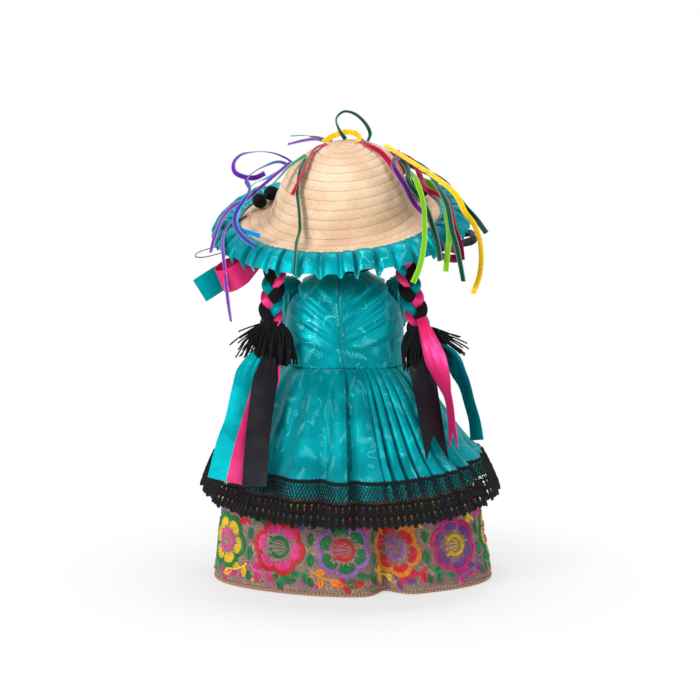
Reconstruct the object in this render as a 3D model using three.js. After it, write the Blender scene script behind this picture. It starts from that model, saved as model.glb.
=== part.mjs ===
import * as THREE from 'three';

// Rag doll in a dress and a straw hat. Millimetres, +Z up, the doll looks along +Y.
// The origin is on the floor, under the middle of the skirt.

const GAP = 0.3;
const CLOTH = 1.4;

// The doll leans a little to its left side as it rises
const LEAN_AT_FLOOR = 5;
const LEAN_PER_MM = 0.034;

// Shoulders, and the neck and head above them
const SHOULDER_HEIGHT = 203;
const NECK_HEIGHT = SHOULDER_HEIGHT + 17;
const HEAD_HEIGHT = NECK_HEIGHT + 30;
const HEAD_WIDE = 40;
const HEAD_DEEP = 38;
const HEAD_TALL = 38;
const NECK_RADIUS = 12;
const HAIR_RADIUS = 47.5;
const HAIR_THICK = 7;
const HAIR_TILT = 40;
const HAIR_REACH = 92;

// Stuffed torso and the bodice over it
const WAIST_HEIGHT = 152;
const TORSO_BOTTOM = 113.5;
const TORSO_WAIST = 36;
const TORSO_CHEST = 33.4;
const TORSO_UNDERARM = 26;
const CHEST_HEIGHT = 172;
const UNDERARM_HEIGHT = 188;
const BODICE_EASE = 2.6;

// Arms and puffed sleeves
const SHOULDER_OUT = 37.4;
const ARM_RADIUS = 6.2;
const ARM_LENGTH = 78;
const ARM_REST = 45;
const SLEEVE_LENGTH = 33;
const SLEEVE_WIDE = 8.6;
const SLEEVE_DEEP = 11;

// Legs and shoes inside the petticoat
const HIP_HEIGHT = 101.5;
const HIP_OUT = 17;
const THIGH_RADIUS = 11.7;
const ANKLE_RADIUS = 7.5;
const ANKLE_HEIGHT = 19;
const SHOE_HEIGHT = 14;
const SOLE_HEIGHT = 4.5;
const SHOE_LENGTH = 34;
const SHOE_WIDE = 9;

// Pleated skirt and its crochet lace, as half widths at the heights below
const SKIRT_WAIST = 41;
const SKIRT_HEM = 90;
const SKIRT_HEM_HEIGHT = 88;
const LACE_HEM = 101.5;
const LACE_HEIGHT = 66;
const PLEATS = 21;
const PLEAT_DEPTH = 4.4;
const PLEAT_LIE = 0.7;
const SKIRT_DIP = 5;
const LACE_DIP = 9;

// Petticoat with one deep fold, and the braid on its edge
const PETTICOAT_WAIST = 38;
const PETTICOAT_WIDE = 96.5;
const PETTICOAT_DEEP = 66;
const FOLD_ANGLE = -75;
const FOLD_DEPTH = 15;
const FOLD_SPREAD = 6;
const BRAID_TALL = 3;
const BRAID_THICK = 3;
const WAVES = 5;
const WAVE_DEPTH = 1.2;

// Straw hat, tilted back and to one side, in its own frame with the brim in the plane of zero height
const HAT_TILT = 16.5;
const HAT_ROLL = 3.5;
const HAT_LIFT = 4;
const STRAW = 2;
const CROWN_HEIGHT = 52;
const CROWN_SQUARENESS = 0.8;
const CROWN_LEAN = 0.17;
const CROWN_LEAN_FROM = 8;
const CROWN_COURSES = 8;
const BRIM_RADIUS = 76;
const BRIM_COURSES = 3;
const COURSE_BULGE = 0.7;
const RUFFLE_INNER = 69.5;
const RUFFLE_OUTER = 88.5;
const RUFFLE_DROP = 6;
const RUFFLE_FOLDS = 26;
const RUFFLE_DEPTH = 3;
const SATIN = 1;

// Yarn garland and satin rosette on the front of the hat
const GARLAND_RADIUS = 5;
const GARLAND_SWELL = 1.6;
const GARLAND_BOBBLES = 9;
const GARLAND_RUN = 1.18;
const GARLAND_FROM = 166;
const GARLAND_TO = 15;
const ROSETTE_RADIUS = 9;
const ROSETTE_AT = 38;
const ROSETTE_RUN = 0.73;

// Plaits, tassels, bows and ribbon tails
const PLAIT_TOP = 226.9;
const STRAND_HALF_WIDTH = 1.55;
const STRAND_HALF_DEPTH = 2.4;
const PLAIT_HALF_WIDTH = 7;
const PLAIT_HALF_DEPTH = 4.2;
const PLAIT_TURN = 28;
const TASSEL_LENGTH = 30;
const TASSEL_DEEP = 7.5;
const SATIN_WIDTH = 17;
const SATIN_THICK = 0.6;
const BOW_TIE = 2;

// Narrow ribbons on the hat
const RIBBON_WIDTH = 3.8;
const RIBBON_THICK = 0.5;
const LAID = GAP + RIBBON_THICK / 2;

const DEGREE = Math.PI / 180;
const vec = (x, y, z) => new THREE.Vector3(x, y, z);
const leanAt = (z) => LEAN_AT_FLOOR - LEAN_PER_MM * z;

const satin = { roughness: 0.35, metalness: 0 };
const woven = { roughness: 0.85, metalness: 0 };
const foil = { roughness: 0.3, metalness: 0.4 };
const TEAL = 0x00a8ae;
const PINK = 0xff2d6e;
const BLACK = 0x0c0c0e;
const SKIN = 0xe8c3a0;

function finish(color, surface) {
  return new THREE.MeshStandardMaterial({ color, ...surface });
}

function add(parent, name, geometry, color, surface) {
  const mesh = new THREE.Mesh(geometry, finish(color, surface));
  mesh.name = name;
  parent.add(mesh);
  return mesh;
}

// Six times the volume inside a set of triangles, positive when they face outwards
function signedVolume(points, index) {
  let sum = 0;
  for (let i = 0; i < index.length; i += 3) {
    const [a, b, c] = [points[index[i]], points[index[i + 1]], points[index[i + 2]]];
    sum += a.dot(b.clone().cross(c));
  }
  return sum;
}

// Joins rings of points into one closed body: a ring shape when looped, else with flat ends
function body(rings, looped = false) {
  const count = rings[0].length;
  const points = rings.flat();
  const index = [];
  const spans = looped ? rings.length : rings.length - 1;
  for (let i = 0; i < spans; i++) {
    const a = i * count;
    const b = ((i + 1) % rings.length) * count;
    for (let j = 0; j < count; j++) {
      const k = (j + 1) % count;
      index.push(a + j, b + j, b + k, a + j, b + k, a + k);
    }
  }
  if (!looped) {
    const last = (rings.length - 1) * count;
    for (let j = 1; j < count - 1; j++) {
      index.push(0, j, j + 1, last, last + j + 1, last + j);
    }
  }
  if (signedVolume(points, index) < 0) index.reverse();
  const geometry = new THREE.BufferGeometry().setFromPoints(points);
  geometry.setIndex(index);
  geometry.computeVertexNormals();
  return geometry;
}

// A level ring with its own half width and half depth
function ring(z, wide, deep, sides, x = 0, y = 0) {
  return Array.from({ length: sides }, (_, i) => {
    const a = (i / sides) * 2 * Math.PI;
    return vec(x + wide * Math.cos(a), y + deep * Math.sin(a), z);
  });
}

// A stuffed form from rows of [height, half width, half depth, shift along Y]
function stuffed(rows, sides, follow = () => 0) {
  return body(rows.map(([z, wide, deep, y = 0]) => ring(z, wide, deep, sides, follow(z), y)));
}

// A cloth shell: the outer rows from top to bottom, then the inner rows back up
function shell(outer, inner) {
  return body([...outer, ...inner.slice().reverse()], true);
}

// Straight lines between named knots: the value at t in rows of [t, ...values]
function between(rows, t) {
  const i = Math.max(1, rows.findIndex((row) => row[0] >= t));
  const [low, high] = rows.at(-1)[0] < t ? rows.slice(-2) : [rows[i - 1], rows[i]];
  const f = (t - low[0]) / (high[0] - low[0]);
  return low.slice(1).map((value, k) => value + f * (high[k + 1] - value));
}

// Carries a flat section along points without twisting it, starting from the given normal
function sweep(points, section, normal, scale = () => [1, 1]) {
  const side = vec(0, 0, 0);
  const up = normal.clone();
  const before = vec(0, 0, 0);
  const turn = new THREE.Quaternion();
  return body(
    points.map((p, i) => {
      const ahead = points[Math.min(i + 1, points.length - 1)];
      const along = ahead.clone().sub(points[Math.max(i - 1, 0)]).normalize();
      if (i > 0) up.applyQuaternion(turn.setFromUnitVectors(before, along));
      before.copy(along);
      up.addScaledVector(along, -up.dot(along)).normalize();
      side.crossVectors(along, up);
      const [wide, thick] = scale(i / (points.length - 1));
      const place = ([u, v]) => p.clone().addScaledVector(side, u * wide).addScaledVector(up, v * thick);
      return section.map(place);
    }),
  );
}

function smooth(points, steps) {
  return new THREE.CatmullRomCurve3(points, false, 'centripetal').getPoints(steps);
}

function flatSection(width, thick) {
  const [w, t] = [width / 2, thick / 2];
  return [[-w, -t], [w, -t], [w, t], [-w, t]];
}

function roundSection(radius, sides) {
  return Array.from({ length: sides }, (_, i) => {
    const a = (i / sides) * 2 * Math.PI;
    return [radius * Math.cos(a), radius * Math.sin(a)];
  });
}

const doll = new THREE.Group();

// Torso and neck: a tapered stuffed body, narrow where the arms are sewn on
const torsoRows = [
  [TORSO_BOTTOM, 16, 14],
  [TORSO_BOTTOM + 4, 26, 22],
  [TORSO_BOTTOM + 14, TORSO_WAIST - 2, 27],
  [WAIST_HEIGHT - 6, TORSO_WAIST, 29],
  [WAIST_HEIGHT + 8, TORSO_WAIST - 1, 29],
  [CHEST_HEIGHT, TORSO_CHEST, 30],
  [UNDERARM_HEIGHT, TORSO_UNDERARM, 28],
  [SHOULDER_HEIGHT - 3, TORSO_UNDERARM, 26],
  [SHOULDER_HEIGHT + 6, 22, 20],
  [NECK_HEIGHT - 6, NECK_RADIUS, NECK_RADIUS],
  [NECK_HEIGHT - GAP, NECK_RADIUS, NECK_RADIUS],
];

function makeTorso() {
  add(doll, 'torso', stuffed(torsoRows, 20, leanAt), SKIN, woven);
}

// Bodice: follows the torso from the waist seam to the neckline
function makeBodice() {
  const lower = [WAIST_HEIGHT + GAP, WAIST_HEIGHT + 9, CHEST_HEIGHT, UNDERARM_HEIGHT];
  const heights = [...lower, SHOULDER_HEIGHT - 3, SHOULDER_HEIGHT + 6];
  const neckline = [NECK_HEIGHT - 1.2, NECK_RADIUS + BODICE_EASE, NECK_RADIUS + BODICE_EASE];
  const rows = heights.map((z) => {
    const [wide, deep] = between(torsoRows, z);
    return [z, wide + BODICE_EASE, deep + BODICE_EASE + 1];
  });
  rows.push(neckline);
  const rings = (thin) => rows.map(([z, w, d]) => ring(z, w - thin, d - thin, 24, leanAt(z)));
  add(doll, 'bodice', shell(rings(0), rings(CLOTH)), TEAL, satin);
}

// Skirt and lace share one profile of [height, half width, half depth, pleat depth, dip at the back]
const skirtRows = [
  [WAIST_HEIGHT, SKIRT_WAIST, SKIRT_WAIST - 6, 0.8, 0],
  [WAIST_HEIGHT - 9, 50, 45, 1.8, 0],
  [WAIST_HEIGHT - 24, 60, 57, 2.6, 1],
  [WAIST_HEIGHT - 40, 70, 68, 3.3, 2],
  [SKIRT_HEM_HEIGHT + 10, 80, 79, 4, 4],
  [SKIRT_HEM_HEIGHT, SKIRT_HEM, SKIRT_HEM, PLEAT_DEPTH, SKIRT_DIP],
  [LACE_HEIGHT, LACE_HEM, LACE_HEM, PLEAT_DEPTH, LACE_DIP],
];
const skirtUpward = skirtRows.slice().reverse();
const SKIRT_COLUMNS = PLEATS * 4;

// A knife pleat rises slowly and turns back sharply
function pleat(turn) {
  const phase = (turn * PLEATS) % 1;
  if (phase < PLEAT_LIE) return Math.sin((phase / PLEAT_LIE) * 90 * DEGREE);
  return Math.cos(((phase - PLEAT_LIE) / (1 - PLEAT_LIE)) * 90 * DEGREE);
}

function skirtRing(z, inset, hem = 0) {
  const [wide, deep, fold, dip] = between(skirtUpward, z);
  return Array.from({ length: SKIRT_COLUMNS }, (_, i) => {
    const a = (i / SKIRT_COLUMNS) * 2 * Math.PI;
    const out = fold * (pleat(i / SKIRT_COLUMNS) - 0.5) - inset;
    const fall = dip * Math.max(0, -Math.sin(a)) + (i % 2) * hem;
    return vec(leanAt(z) + (wide + out) * Math.cos(a), (deep + out) * Math.sin(a), z - fall);
  });
}

function makeSkirt() {
  const rings = (inset) => skirtRows.slice(0, -1).map(([z]) => skirtRing(z, inset));
  add(doll, 'skirt', shell(rings(0), rings(CLOTH)), TEAL, satin);
}

function makeLace() {
  const rings = (inset) => [skirtRing(SKIRT_HEM_HEIGHT - GAP, inset), skirtRing(LACE_HEIGHT, inset, 1.5)];
  add(doll, 'lace_hem', shell(rings(0), rings(CLOTH)), BLACK, woven);
}

// Petticoat: rows of [height, half width, half depth, share of the fold]
const petticoatRows = [
  [WAIST_HEIGHT - 6, PETTICOAT_WAIST, 31, 0],
  [126, 50, 42, 0.1],
  [100, 64, 50, 0.5],
  [70, 84, 59, 1],
  [BRAID_TALL + GAP, PETTICOAT_WIDE, PETTICOAT_DEEP, 1],
];
const PETTICOAT_COLUMNS = 60;

function petticoatRing([z, wide, deep, share], inset) {
  return Array.from({ length: PETTICOAT_COLUMNS }, (_, i) => {
    const degrees = (i / PETTICOAT_COLUMNS) * 360;
    const off = ((degrees - FOLD_ANGLE + 180) % 360) - 180;
    const a = degrees * DEGREE;
    const tuck = FOLD_DEPTH * Math.exp(-((off / FOLD_SPREAD) ** 2));
    const fold = share * (tuck + WAVE_DEPTH * Math.sin(WAVES * a));
    return vec(
      leanAt(z) + (wide - fold - inset) * Math.cos(a),
      (deep - fold - inset) * Math.sin(a),
      z,
    );
  });
}

function makePetticoat() {
  const rings = (inset) => petticoatRows.map((row) => petticoatRing(row, inset));
  add(doll, 'petticoat', shell(rings(0), rings(CLOTH)), 0xb03a6a, woven);
  const edge = [0, PETTICOAT_WIDE, PETTICOAT_DEEP, 1];
  const top = [BRAID_TALL, PETTICOAT_WIDE, PETTICOAT_DEEP, 1];
  const proud = (CLOTH - BRAID_THICK) / 2;
  const braid = [petticoatRing(top, proud), petticoatRing(edge, proud)];
  const within = braid.map((_, i) => petticoatRing(i ? edge : top, proud + BRAID_THICK));
  add(doll, 'petticoat_braid', shell(braid, within), 0xc98a78, woven);
}

// One arm hangs straight down in its own group, which the shoulder turns forwards
function makeArm(side, name) {
  const shoulder = new THREE.Group();
  const middle = leanAt(SHOULDER_HEIGHT - SLEEVE_LENGTH / 4);
  shoulder.position.set(middle + side * SHOULDER_OUT, 0, SHOULDER_HEIGHT);
  shoulder.rotation.x = ARM_REST * DEGREE;
  doll.add(shoulder);

  const wrist = -ARM_LENGTH + 15;
  const arm = [
    [ARM_RADIUS, 2, 2],
    [ARM_RADIUS * 0.7, ARM_RADIUS * 0.7, ARM_RADIUS * 0.7],
    [0, ARM_RADIUS, ARM_RADIUS],
    [-28, ARM_RADIUS, ARM_RADIUS],
    [wrist, ARM_RADIUS - 1.4, ARM_RADIUS - 1.4],
    [wrist - 6, ARM_RADIUS - 0.6, ARM_RADIUS + 0.6],
    [wrist - 12, ARM_RADIUS - 1.6, ARM_RADIUS - 0.4],
    [-ARM_LENGTH, 1.6, 2],
  ];
  add(shoulder, `arm_${name}`, stuffed(arm, 12), SKIN, woven);

  const bore = ARM_RADIUS + GAP;
  const puff = [
    [11.5, 2.4, 2.4],
    [9.5, SLEEVE_WIDE * 0.72, SLEEVE_DEEP * 0.6],
    [3, SLEEVE_WIDE, SLEEVE_DEEP * 0.9],
    [-SLEEVE_LENGTH * 0.45, SLEEVE_WIDE, SLEEVE_DEEP],
    [-SLEEVE_LENGTH * 0.85, SLEEVE_WIDE, SLEEVE_DEEP],
    [-SLEEVE_LENGTH, SLEEVE_WIDE - 0.8, SLEEVE_DEEP - 1.5],
  ];
  const lining = [
    [-SLEEVE_LENGTH, bore, bore],
    [0, bore, bore],
    [ARM_RADIUS * 0.75 + GAP, bore * 0.78, bore * 0.78],
    [ARM_RADIUS + GAP, 2.4, 2.4],
  ];
  add(shoulder, `sleeve_${name}`, stuffed([...puff, ...lining], 14), TEAL, satin);
}

function makeLeg(side, name) {
  const hip = new THREE.Group();
  hip.position.set(leanAt(HIP_HEIGHT) + side * HIP_OUT, 0, HIP_HEIGHT);
  doll.add(hip);

  const ankle = ANKLE_HEIGHT - HIP_HEIGHT;
  const leg = [
    [THIGH_RADIUS, 2, 2],
    [THIGH_RADIUS * 0.82, THIGH_RADIUS * 0.57, THIGH_RADIUS * 0.57],
    [THIGH_RADIUS * 0.45, THIGH_RADIUS * 0.89, THIGH_RADIUS * 0.89],
    [0, THIGH_RADIUS, THIGH_RADIUS],
    [ankle * 0.45, ANKLE_RADIUS + 3, ANKLE_RADIUS + 3],
    [ankle * 0.6, ANKLE_RADIUS + 2.4, ANKLE_RADIUS + 2.8],
    [ankle, ANKLE_RADIUS, ANKLE_RADIUS],
  ];
  add(hip, `leg_${name}`, stuffed(leg, 12), SKIN, woven);

  const sole = SOLE_HEIGHT - HIP_HEIGHT;
  const toe = SHOE_LENGTH / 2 - ANKLE_RADIUS - 1;
  const shoe = [
    [sole, SHOE_WIDE - 1, SHOE_LENGTH / 2 - 1, toe],
    [sole + 3, SHOE_WIDE, SHOE_LENGTH / 2, toe],
    [sole + SHOE_HEIGHT * 0.6, SHOE_WIDE - 0.5, SHOE_LENGTH / 2 - 4, toe - 3],
    [ankle - GAP, ANKLE_RADIUS + 0.5, ANKLE_RADIUS + 0.5],
  ];
  add(hip, `shoe_${name}`, stuffed(shoe, 14), 0x161214, { roughness: 0.4, metalness: 0 });
}

// Head: an egg cut flat where it sits on the neck, with a small flat at its pole
const POLE = 0.985;

function makeHead() {
  const drop = (NECK_HEIGHT - HEAD_HEIGHT) / HEAD_TALL;
  const rows = [];
  for (let i = 0; i <= 11; i++) {
    const rise = (1 + Math.sin(((i / 11) * 2 - 1) * 90 * DEGREE)) / 2;
    const level = drop + (POLE - drop) * rise;
    const width = Math.sqrt(1 - level * level);
    rows.push([HEAD_HEIGHT + level * HEAD_TALL, HEAD_WIDE * width, HEAD_DEEP * width]);
  }
  add(doll, 'head', stuffed(rows, 24, () => leanAt(HEAD_HEIGHT)), SKIN, woven);
}

// Hair: a thick cap of yarn over the back and top of the head, open round the face
function makeHair() {
  const scalp = (a, out) => new THREE.Vector2(out * Math.sin(a), out * Math.cos(a));
  const profile = [];
  const steps = 9;
  const reach = HAIR_REACH * DEGREE;
  for (let i = 0; i <= steps; i++) profile.push(scalp((i / steps) * reach, HAIR_RADIUS - HAIR_THICK));
  for (let i = steps; i >= 0; i--) profile.push(scalp((i / steps) * reach, HAIR_RADIUS));
  profile[0].x = 0;
  profile.at(-1).x = 0;
  const cap = new THREE.LatheGeometry(profile, 24).rotateX(90 * DEGREE);
  const mesh = add(doll, 'hair', cap, BLACK, woven);
  mesh.position.set(leanAt(HEAD_HEIGHT), 0, HEAD_HEIGHT);
  mesh.rotation.x = HAIR_TILT * DEGREE;
}

// Everything on the hat shares one frame, tilted about the middle of the head
const hat = new THREE.Group();
hat.position.set(leanAt(HEAD_HEIGHT), 0, HEAD_HEIGHT);
hat.rotation.set(HAT_TILT * DEGREE, -HAT_ROLL * DEGREE, 0);
const hatPlane = new THREE.Group();
hatPlane.position.z = HAT_LIFT;
hat.add(hatPlane);
doll.add(hat);

const CROWN_INNER = HAIR_RADIUS + GAP;
const CROWN_RADIUS = CROWN_INNER + STRAW;

// Half width and height of the crown's skin, from its top at 0 to its base at 1
function crown(share, skin) {
  const a = share * 90 * DEGREE;
  const radius = (CROWN_INNER + skin) * Math.sin(a) ** CROWN_SQUARENESS;
  return [radius, (CROWN_HEIGHT - STRAW + skin) * Math.max(0, Math.cos(a)) ** CROWN_SQUARENESS];
}

// The crown leans to the doll's right as it rises
const crownLean = (height) => CROWN_LEAN * Math.max(0, height - CROWN_LEAN_FROM);

function makeHat() {
  const top = STRAW / 2;
  const profile = [new THREE.Vector2(0, CROWN_HEIGHT)];
  for (let i = 1; i < CROWN_COURSES * 2; i++) {
    const [radius, height] = crown(i / (CROWN_COURSES * 2), STRAW - (i % 2 ? 0 : COURSE_BULGE));
    profile.push(new THREE.Vector2(radius, Math.max(height, top)));
  }
  for (let i = 0; i <= BRIM_COURSES * 2; i++) {
    const radius = CROWN_RADIUS + (BRIM_RADIUS - CROWN_RADIUS) * (i / (BRIM_COURSES * 2));
    profile.push(new THREE.Vector2(radius, top - (i % 2 ? 0 : COURSE_BULGE)));
  }
  profile.push(new THREE.Vector2(BRIM_RADIUS, -top));
  profile.push(new THREE.Vector2(CROWN_INNER, -top));
  for (let i = 6; i > 0; i--) profile.push(new THREE.Vector2(...crown(i / 6, 0)));
  profile.push(new THREE.Vector2(0, CROWN_HEIGHT - STRAW));
  const straw = new THREE.LatheGeometry(profile.reverse(), 26).rotateX(90 * DEGREE);
  const place = straw.attributes.position;
  for (let i = 0; i < place.count; i++) place.setX(i, place.getX(i) + crownLean(place.getZ(i)));
  straw.computeVertexNormals();
  add(hatPlane, 'straw_hat', straw, 0xf0d2b0, woven);
}

// Satin ruffle: gathered flat at its seam on the brim, and fluted where it falls over the edge
function makeRuffle() {
  const seat = STRAW / 2 + GAP + SATIN;
  const columns = RUFFLE_FOLDS * 4;
  const rows = [
    [RUFFLE_INNER, seat, 0],
    [BRIM_RADIUS + 1.6, seat + 0.8, 0.25],
    [RUFFLE_OUTER, -RUFFLE_DROP, 1],
  ];
  const rings = (under) =>
    rows.map(([radius, height, share]) =>
      Array.from({ length: columns }, (_, i) => {
        const a = (i / columns) * 2 * Math.PI;
        const wave = RUFFLE_DEPTH * share * Math.sin(RUFFLE_FOLDS * a + share);
        return vec(radius * Math.cos(a), radius * Math.sin(a), height + wave - under);
      }),
    );
  add(hatPlane, 'hat_ruffle', shell(rings(0), rings(SATIN)), TEAL, satin);
}

// The skin that ribbons lie on: the crown to 1, brim and ruffle to 2, then straight down the far side
const overEdge = [
  [1, CROWN_RADIUS + 2, 2],
  [1.3, RUFFLE_INNER - 3, 1.5],
  [1.5, BRIM_RADIUS - 3, 3.4],
  [1.7, BRIM_RADIUS + 3, 4],
  [1.9, RUFFLE_OUTER - 3, 1],
  [2, RUFFLE_OUTER + 1.5, -RUFFLE_DROP + 2],
  [2.2, RUFFLE_OUTER + 6.5, -RUFFLE_DROP - 8],
  [2.4, RUFFLE_OUTER + 8.5, -RUFFLE_DROP - 24],
  [3, RUFFLE_OUTER + 9.5, -RUFFLE_DROP - 72],
];

// The height that ribbons spring to over the same runs, a dome above the hat
const overDome = [
  [0, 0, 72],
  [0.3, 32, 65],
  [0.6, 54, 51],
  [0.85, 68, 38],
  [1, 75, 31],
  [1.3, 84, 22],
  [1.5, 90, 15],
  [1.7, 95, 8],
  [1.9, 99, 0],
  [2, 102, -7],
  [2.2, 105, -19],
  [2.4, 107, -35],
  [3, 108, -83],
];

const skinAt = (run) => (run < 0.97 ? crown(Math.max(run, 0.001), STRAW) : between(overEdge, run));

function onHat(degrees, [radius, height]) {
  const a = degrees * DEGREE;
  return vec(radius * Math.cos(a) + crownLean(height), radius * Math.sin(a), height);
}

// A point lifted squarely off the skin
function overHat([degrees, run, lift]) {
  const [here, ahead, behind] = [run, run + 0.06, Math.max(0, run - 0.06)].map(skinAt);
  const [out, up] = [ahead[0] - behind[0], ahead[1] - behind[1]];
  const step = lift / Math.hypot(out, up);
  return onHat(degrees, [here[0] - up * step, here[1] + out * step]);
}

// A point on the way from the skin at 0 to the dome at 1
function overSkin([degrees, run, rise]) {
  const [skin, dome] = [skinAt(run), between(overDome, run)];
  return onHat(degrees, skin.map((value, k) => value + rise * (dome[k] - value)));
}

// Narrow ribbons: hand laid routes of [degrees round the hat, run from the top, rise to the dome]
// The first stop is where the ribbon is sewn down: its last value is a lift off the skin
const ribbonRoutes = {
  ribbon_green_loop: [0x1f4a3a, [
    [93, 0.13, LAID], [108, 0.16, 0.37], [115, 0.19, 0.86], [102, 0.19, 1.1], [79, 0.17, 1.01],
    [48, 0.17, 0.65], [32, 0.18, 0.31], [29, 0.16, 0.04],
  ]],
  ribbon_purple_loop: [0x7a2bb5, [
    [151, 0.58, LAID], [152, 0.63, 0.36], [155, 0.7, 0.78], [161, 0.8, 1.15], [165, 0.89, 1.28],
    [168, 0.98, 1.21], [171, 1, 1.07], [171, 0.95, 0.85], [168, 0.89, 0.64], [164, 0.81, 0.49],
  ]],
  ribbon_purple_tail: [0x6a35c0, [
    [166, 0.52, LAID], [171, 0.85, 0.35], [173, 1.12, 0.45], [177, 1.27, 0.48], [185, 1.48, 0.46],
    [194, 1.72, 0.42], [199, 1.93, 0.4], [201, 2.04, 0.4],
  ]],
  ribbon_purple_far: [0x8e3bc0, [
    [172, 1.3, LAID], [192, 1.61, 0.15], [205, 1.88, 0.25], [216, 2.09, 0.45], [221, 2.37, 0.6],
    [222, 2.54, 0.6],
  ]],
  ribbon_purple_short: [0x8e3bc0, [
    [108, 0.36, LAID], [128, 0.32, 0.16], [145, 0.31, 0.3], [155, 0.35, 0.42], [161, 0.49, 0.66],
  ]],
  ribbon_green_short: [0x2f6a4a, [
    [104, 0.45, LAID], [122, 0.42, 0.3], [138, 0.4, 0.5], [146, 0.4, 0.62], [151, 0.49, 0.86],
  ]],
  ribbon_green_metal: [0x2c6b4c, [
    [186, 0.31, LAID], [199, 0.48, 0.27], [208, 0.72, 0.57],
  ]],
  ribbon_crimson_left: [0xa01d36, [
    [152, 0.15, LAID], [182, 0.22, 0.12], [215, 0.39, 0.16], [224, 0.58, 0.2], [225, 0.71, 0.22],
  ]],
  ribbon_thin_green: [0x23493a, [
    [196, 0.33, LAID], [213, 0.46, 0.1], [227, 0.66, 0.13], [236, 0.83, 0.16], [240, 0.96, 0.2],
    [245, 1.23, 0.26], [250, 1.77, 0.32], [251, 1.99, 0.4],
  ]],
  ribbon_yellow_top: [0xe8c51c, [
    [135, 0.24, LAID], [112, 0.24, 0.2], [85, 0.18, 0.28], [45, 0.1, 0.2], [10, 0.06, 0.1],
  ]],
  ribbon_crimson_right: [0xb01f3c, [
    [58, 0.17, LAID], [349, 0.13, 0.1], [332, 0.29, 0.12], [327, 0.48, 0.14], [329, 0.66, 0.15],
  ]],
  ribbon_violet_right: [0x71206e, [
    [5, 0.48, LAID], [325, 0.5, 0.24], [327, 0.74, 0.26], [337, 0.95, 0.26], [332, 1.19, 0.3],
    [323, 1.57, 0.28], [317, 1.99, 0.32],
  ]],
  ribbon_forest_right: [0x1c4230, [
    [13, 0.52, LAID], [352, 0.62, 0.1], [330, 0.74, 0.34], [337, 0.97, 0.46], [323, 1.35, 0.48],
    [316, 1.82, 0.5], [313, 2.05, 0.48],
  ]],
  ribbon_lime_inner: [0x79b928, [
    [7, 0.68, LAID], [331, 0.78, 0.55], [328, 0.97, 0.62], [315, 1.37, 0.62], [308, 1.78, 0.6],
    [302, 2.03, 0.6], [298, 2.17, 0.6],
  ]],
  ribbon_lime_outer: [0x8cc63a, [
    [18, 0.78, LAID - 0.2], [353, 0.9, 0.5], [348, 1.19, 0.55], [332, 1.51, 0.52], [325, 1.8, 0.5],
    [318, 2, 0.5], [314, 2.18, 0.52],
  ]],
  ribbon_crimson_far: [0xa31c33, [
    [20, 0.5, LAID - 0.2], [8, 0.66, 0.28], [340, 0.91, 0.56], [341, 1.16, 0.7], [334, 1.46, 0.7],
    [328, 1.74, 0.68], [326, 1.97, 0.66], [324, 2.13, 0.66],
  ]],
  ribbon_forest_far: [0x1d4634, [
    [27, 0.56, LAID], [12, 0.8, 0.46], [339, 0.97, 0.82], [331, 1.3, 0.86], [324, 1.71, 0.86],
    [322, 1.96, 0.84], [321, 2.16, 0.82], [321, 2.3, 0.82],
  ]],
  ribbon_yellow_long: [0xf0d634, [
    [27, 0.36, LAID], [346, 0.93, 0.8], [339, 1.27, 0.98], [337, 1.6, 0.98], [339, 1.8, 0.96],
    [338, 1.99, 0.95], [335, 2.18, 0.95], [331, 2.32, 0.95], [325, 2.43, 0.95],
  ]],
  ribbon_forest_edge: [0x20503a, [
    [66, 0.62, LAID], [52, 1.02, 0.62], [24, 1.29, 0.55], [357, 1.34, 0.62], [350, 1.69, 0.6],
    [350, 1.9, 0.6], [356, 2.17, 0.6],
  ]],
  ribbon_blue: [0x1676d6, [
    [144, 0.62, LAID - 0.2], [148, 0.94, 0.5], [162, 0.97, 0.62], [187, 1.01, 0.66], [198, 1.19, 0.62],
    [204, 1.33, 0.58], [213, 1.41, 0.56], [220, 1.38, 0.55], [227, 1.38, 0.55],
  ]],
  ribbon_navy: [0x1b2f8a, [
    [132, 0.76, LAID], [143, 0.79, 0.5], [155, 0.85, 0.68], [180, 0.9, 0.84], [200, 0.92, 0.86],
    [206, 1.26, 0.84], [213, 1.42, 0.8], [223, 1.54, 0.78], [231, 1.62, 0.78],
  ]],
};

function makeRibbons() {
  for (const [name, [color, route]] of Object.entries(ribbonRoutes)) {
    const [sewn, ...stops] = route;
    const points = smooth([overHat(sewn), ...stops.map(overSkin)], stops.length * 2);
    const normal = overHat([sewn[0], sewn[1], 2]).sub(points[0]).normalize();
    add(hatPlane, name, sweep(points, flatSection(RIBBON_WIDTH, RIBBON_THICK), normal), color, foil);
  }
}

// A string of yarn bobbles round the front of the crown
function makeGarland() {
  const stand = GARLAND_RADIUS + GAP;
  const points = [];
  const steps = GARLAND_BOBBLES * 4;
  for (let i = 0; i <= steps; i++) {
    const degrees = GARLAND_FROM + ((GARLAND_TO - GARLAND_FROM) * i) / steps;
    points.push(overHat([degrees, GARLAND_RUN, stand]));
  }
  const swell = (t) => {
    const fat = 1 + (GARLAND_SWELL / GARLAND_RADIUS) * Math.cos(2 * Math.PI * GARLAND_BOBBLES * t);
    return [fat, fat];
  };
  const garland = sweep(points, roundSection(GARLAND_RADIUS, 6), vec(0, 0, 1), swell);
  add(hatPlane, 'yarn_garland', garland, BLACK, woven);
}

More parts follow.
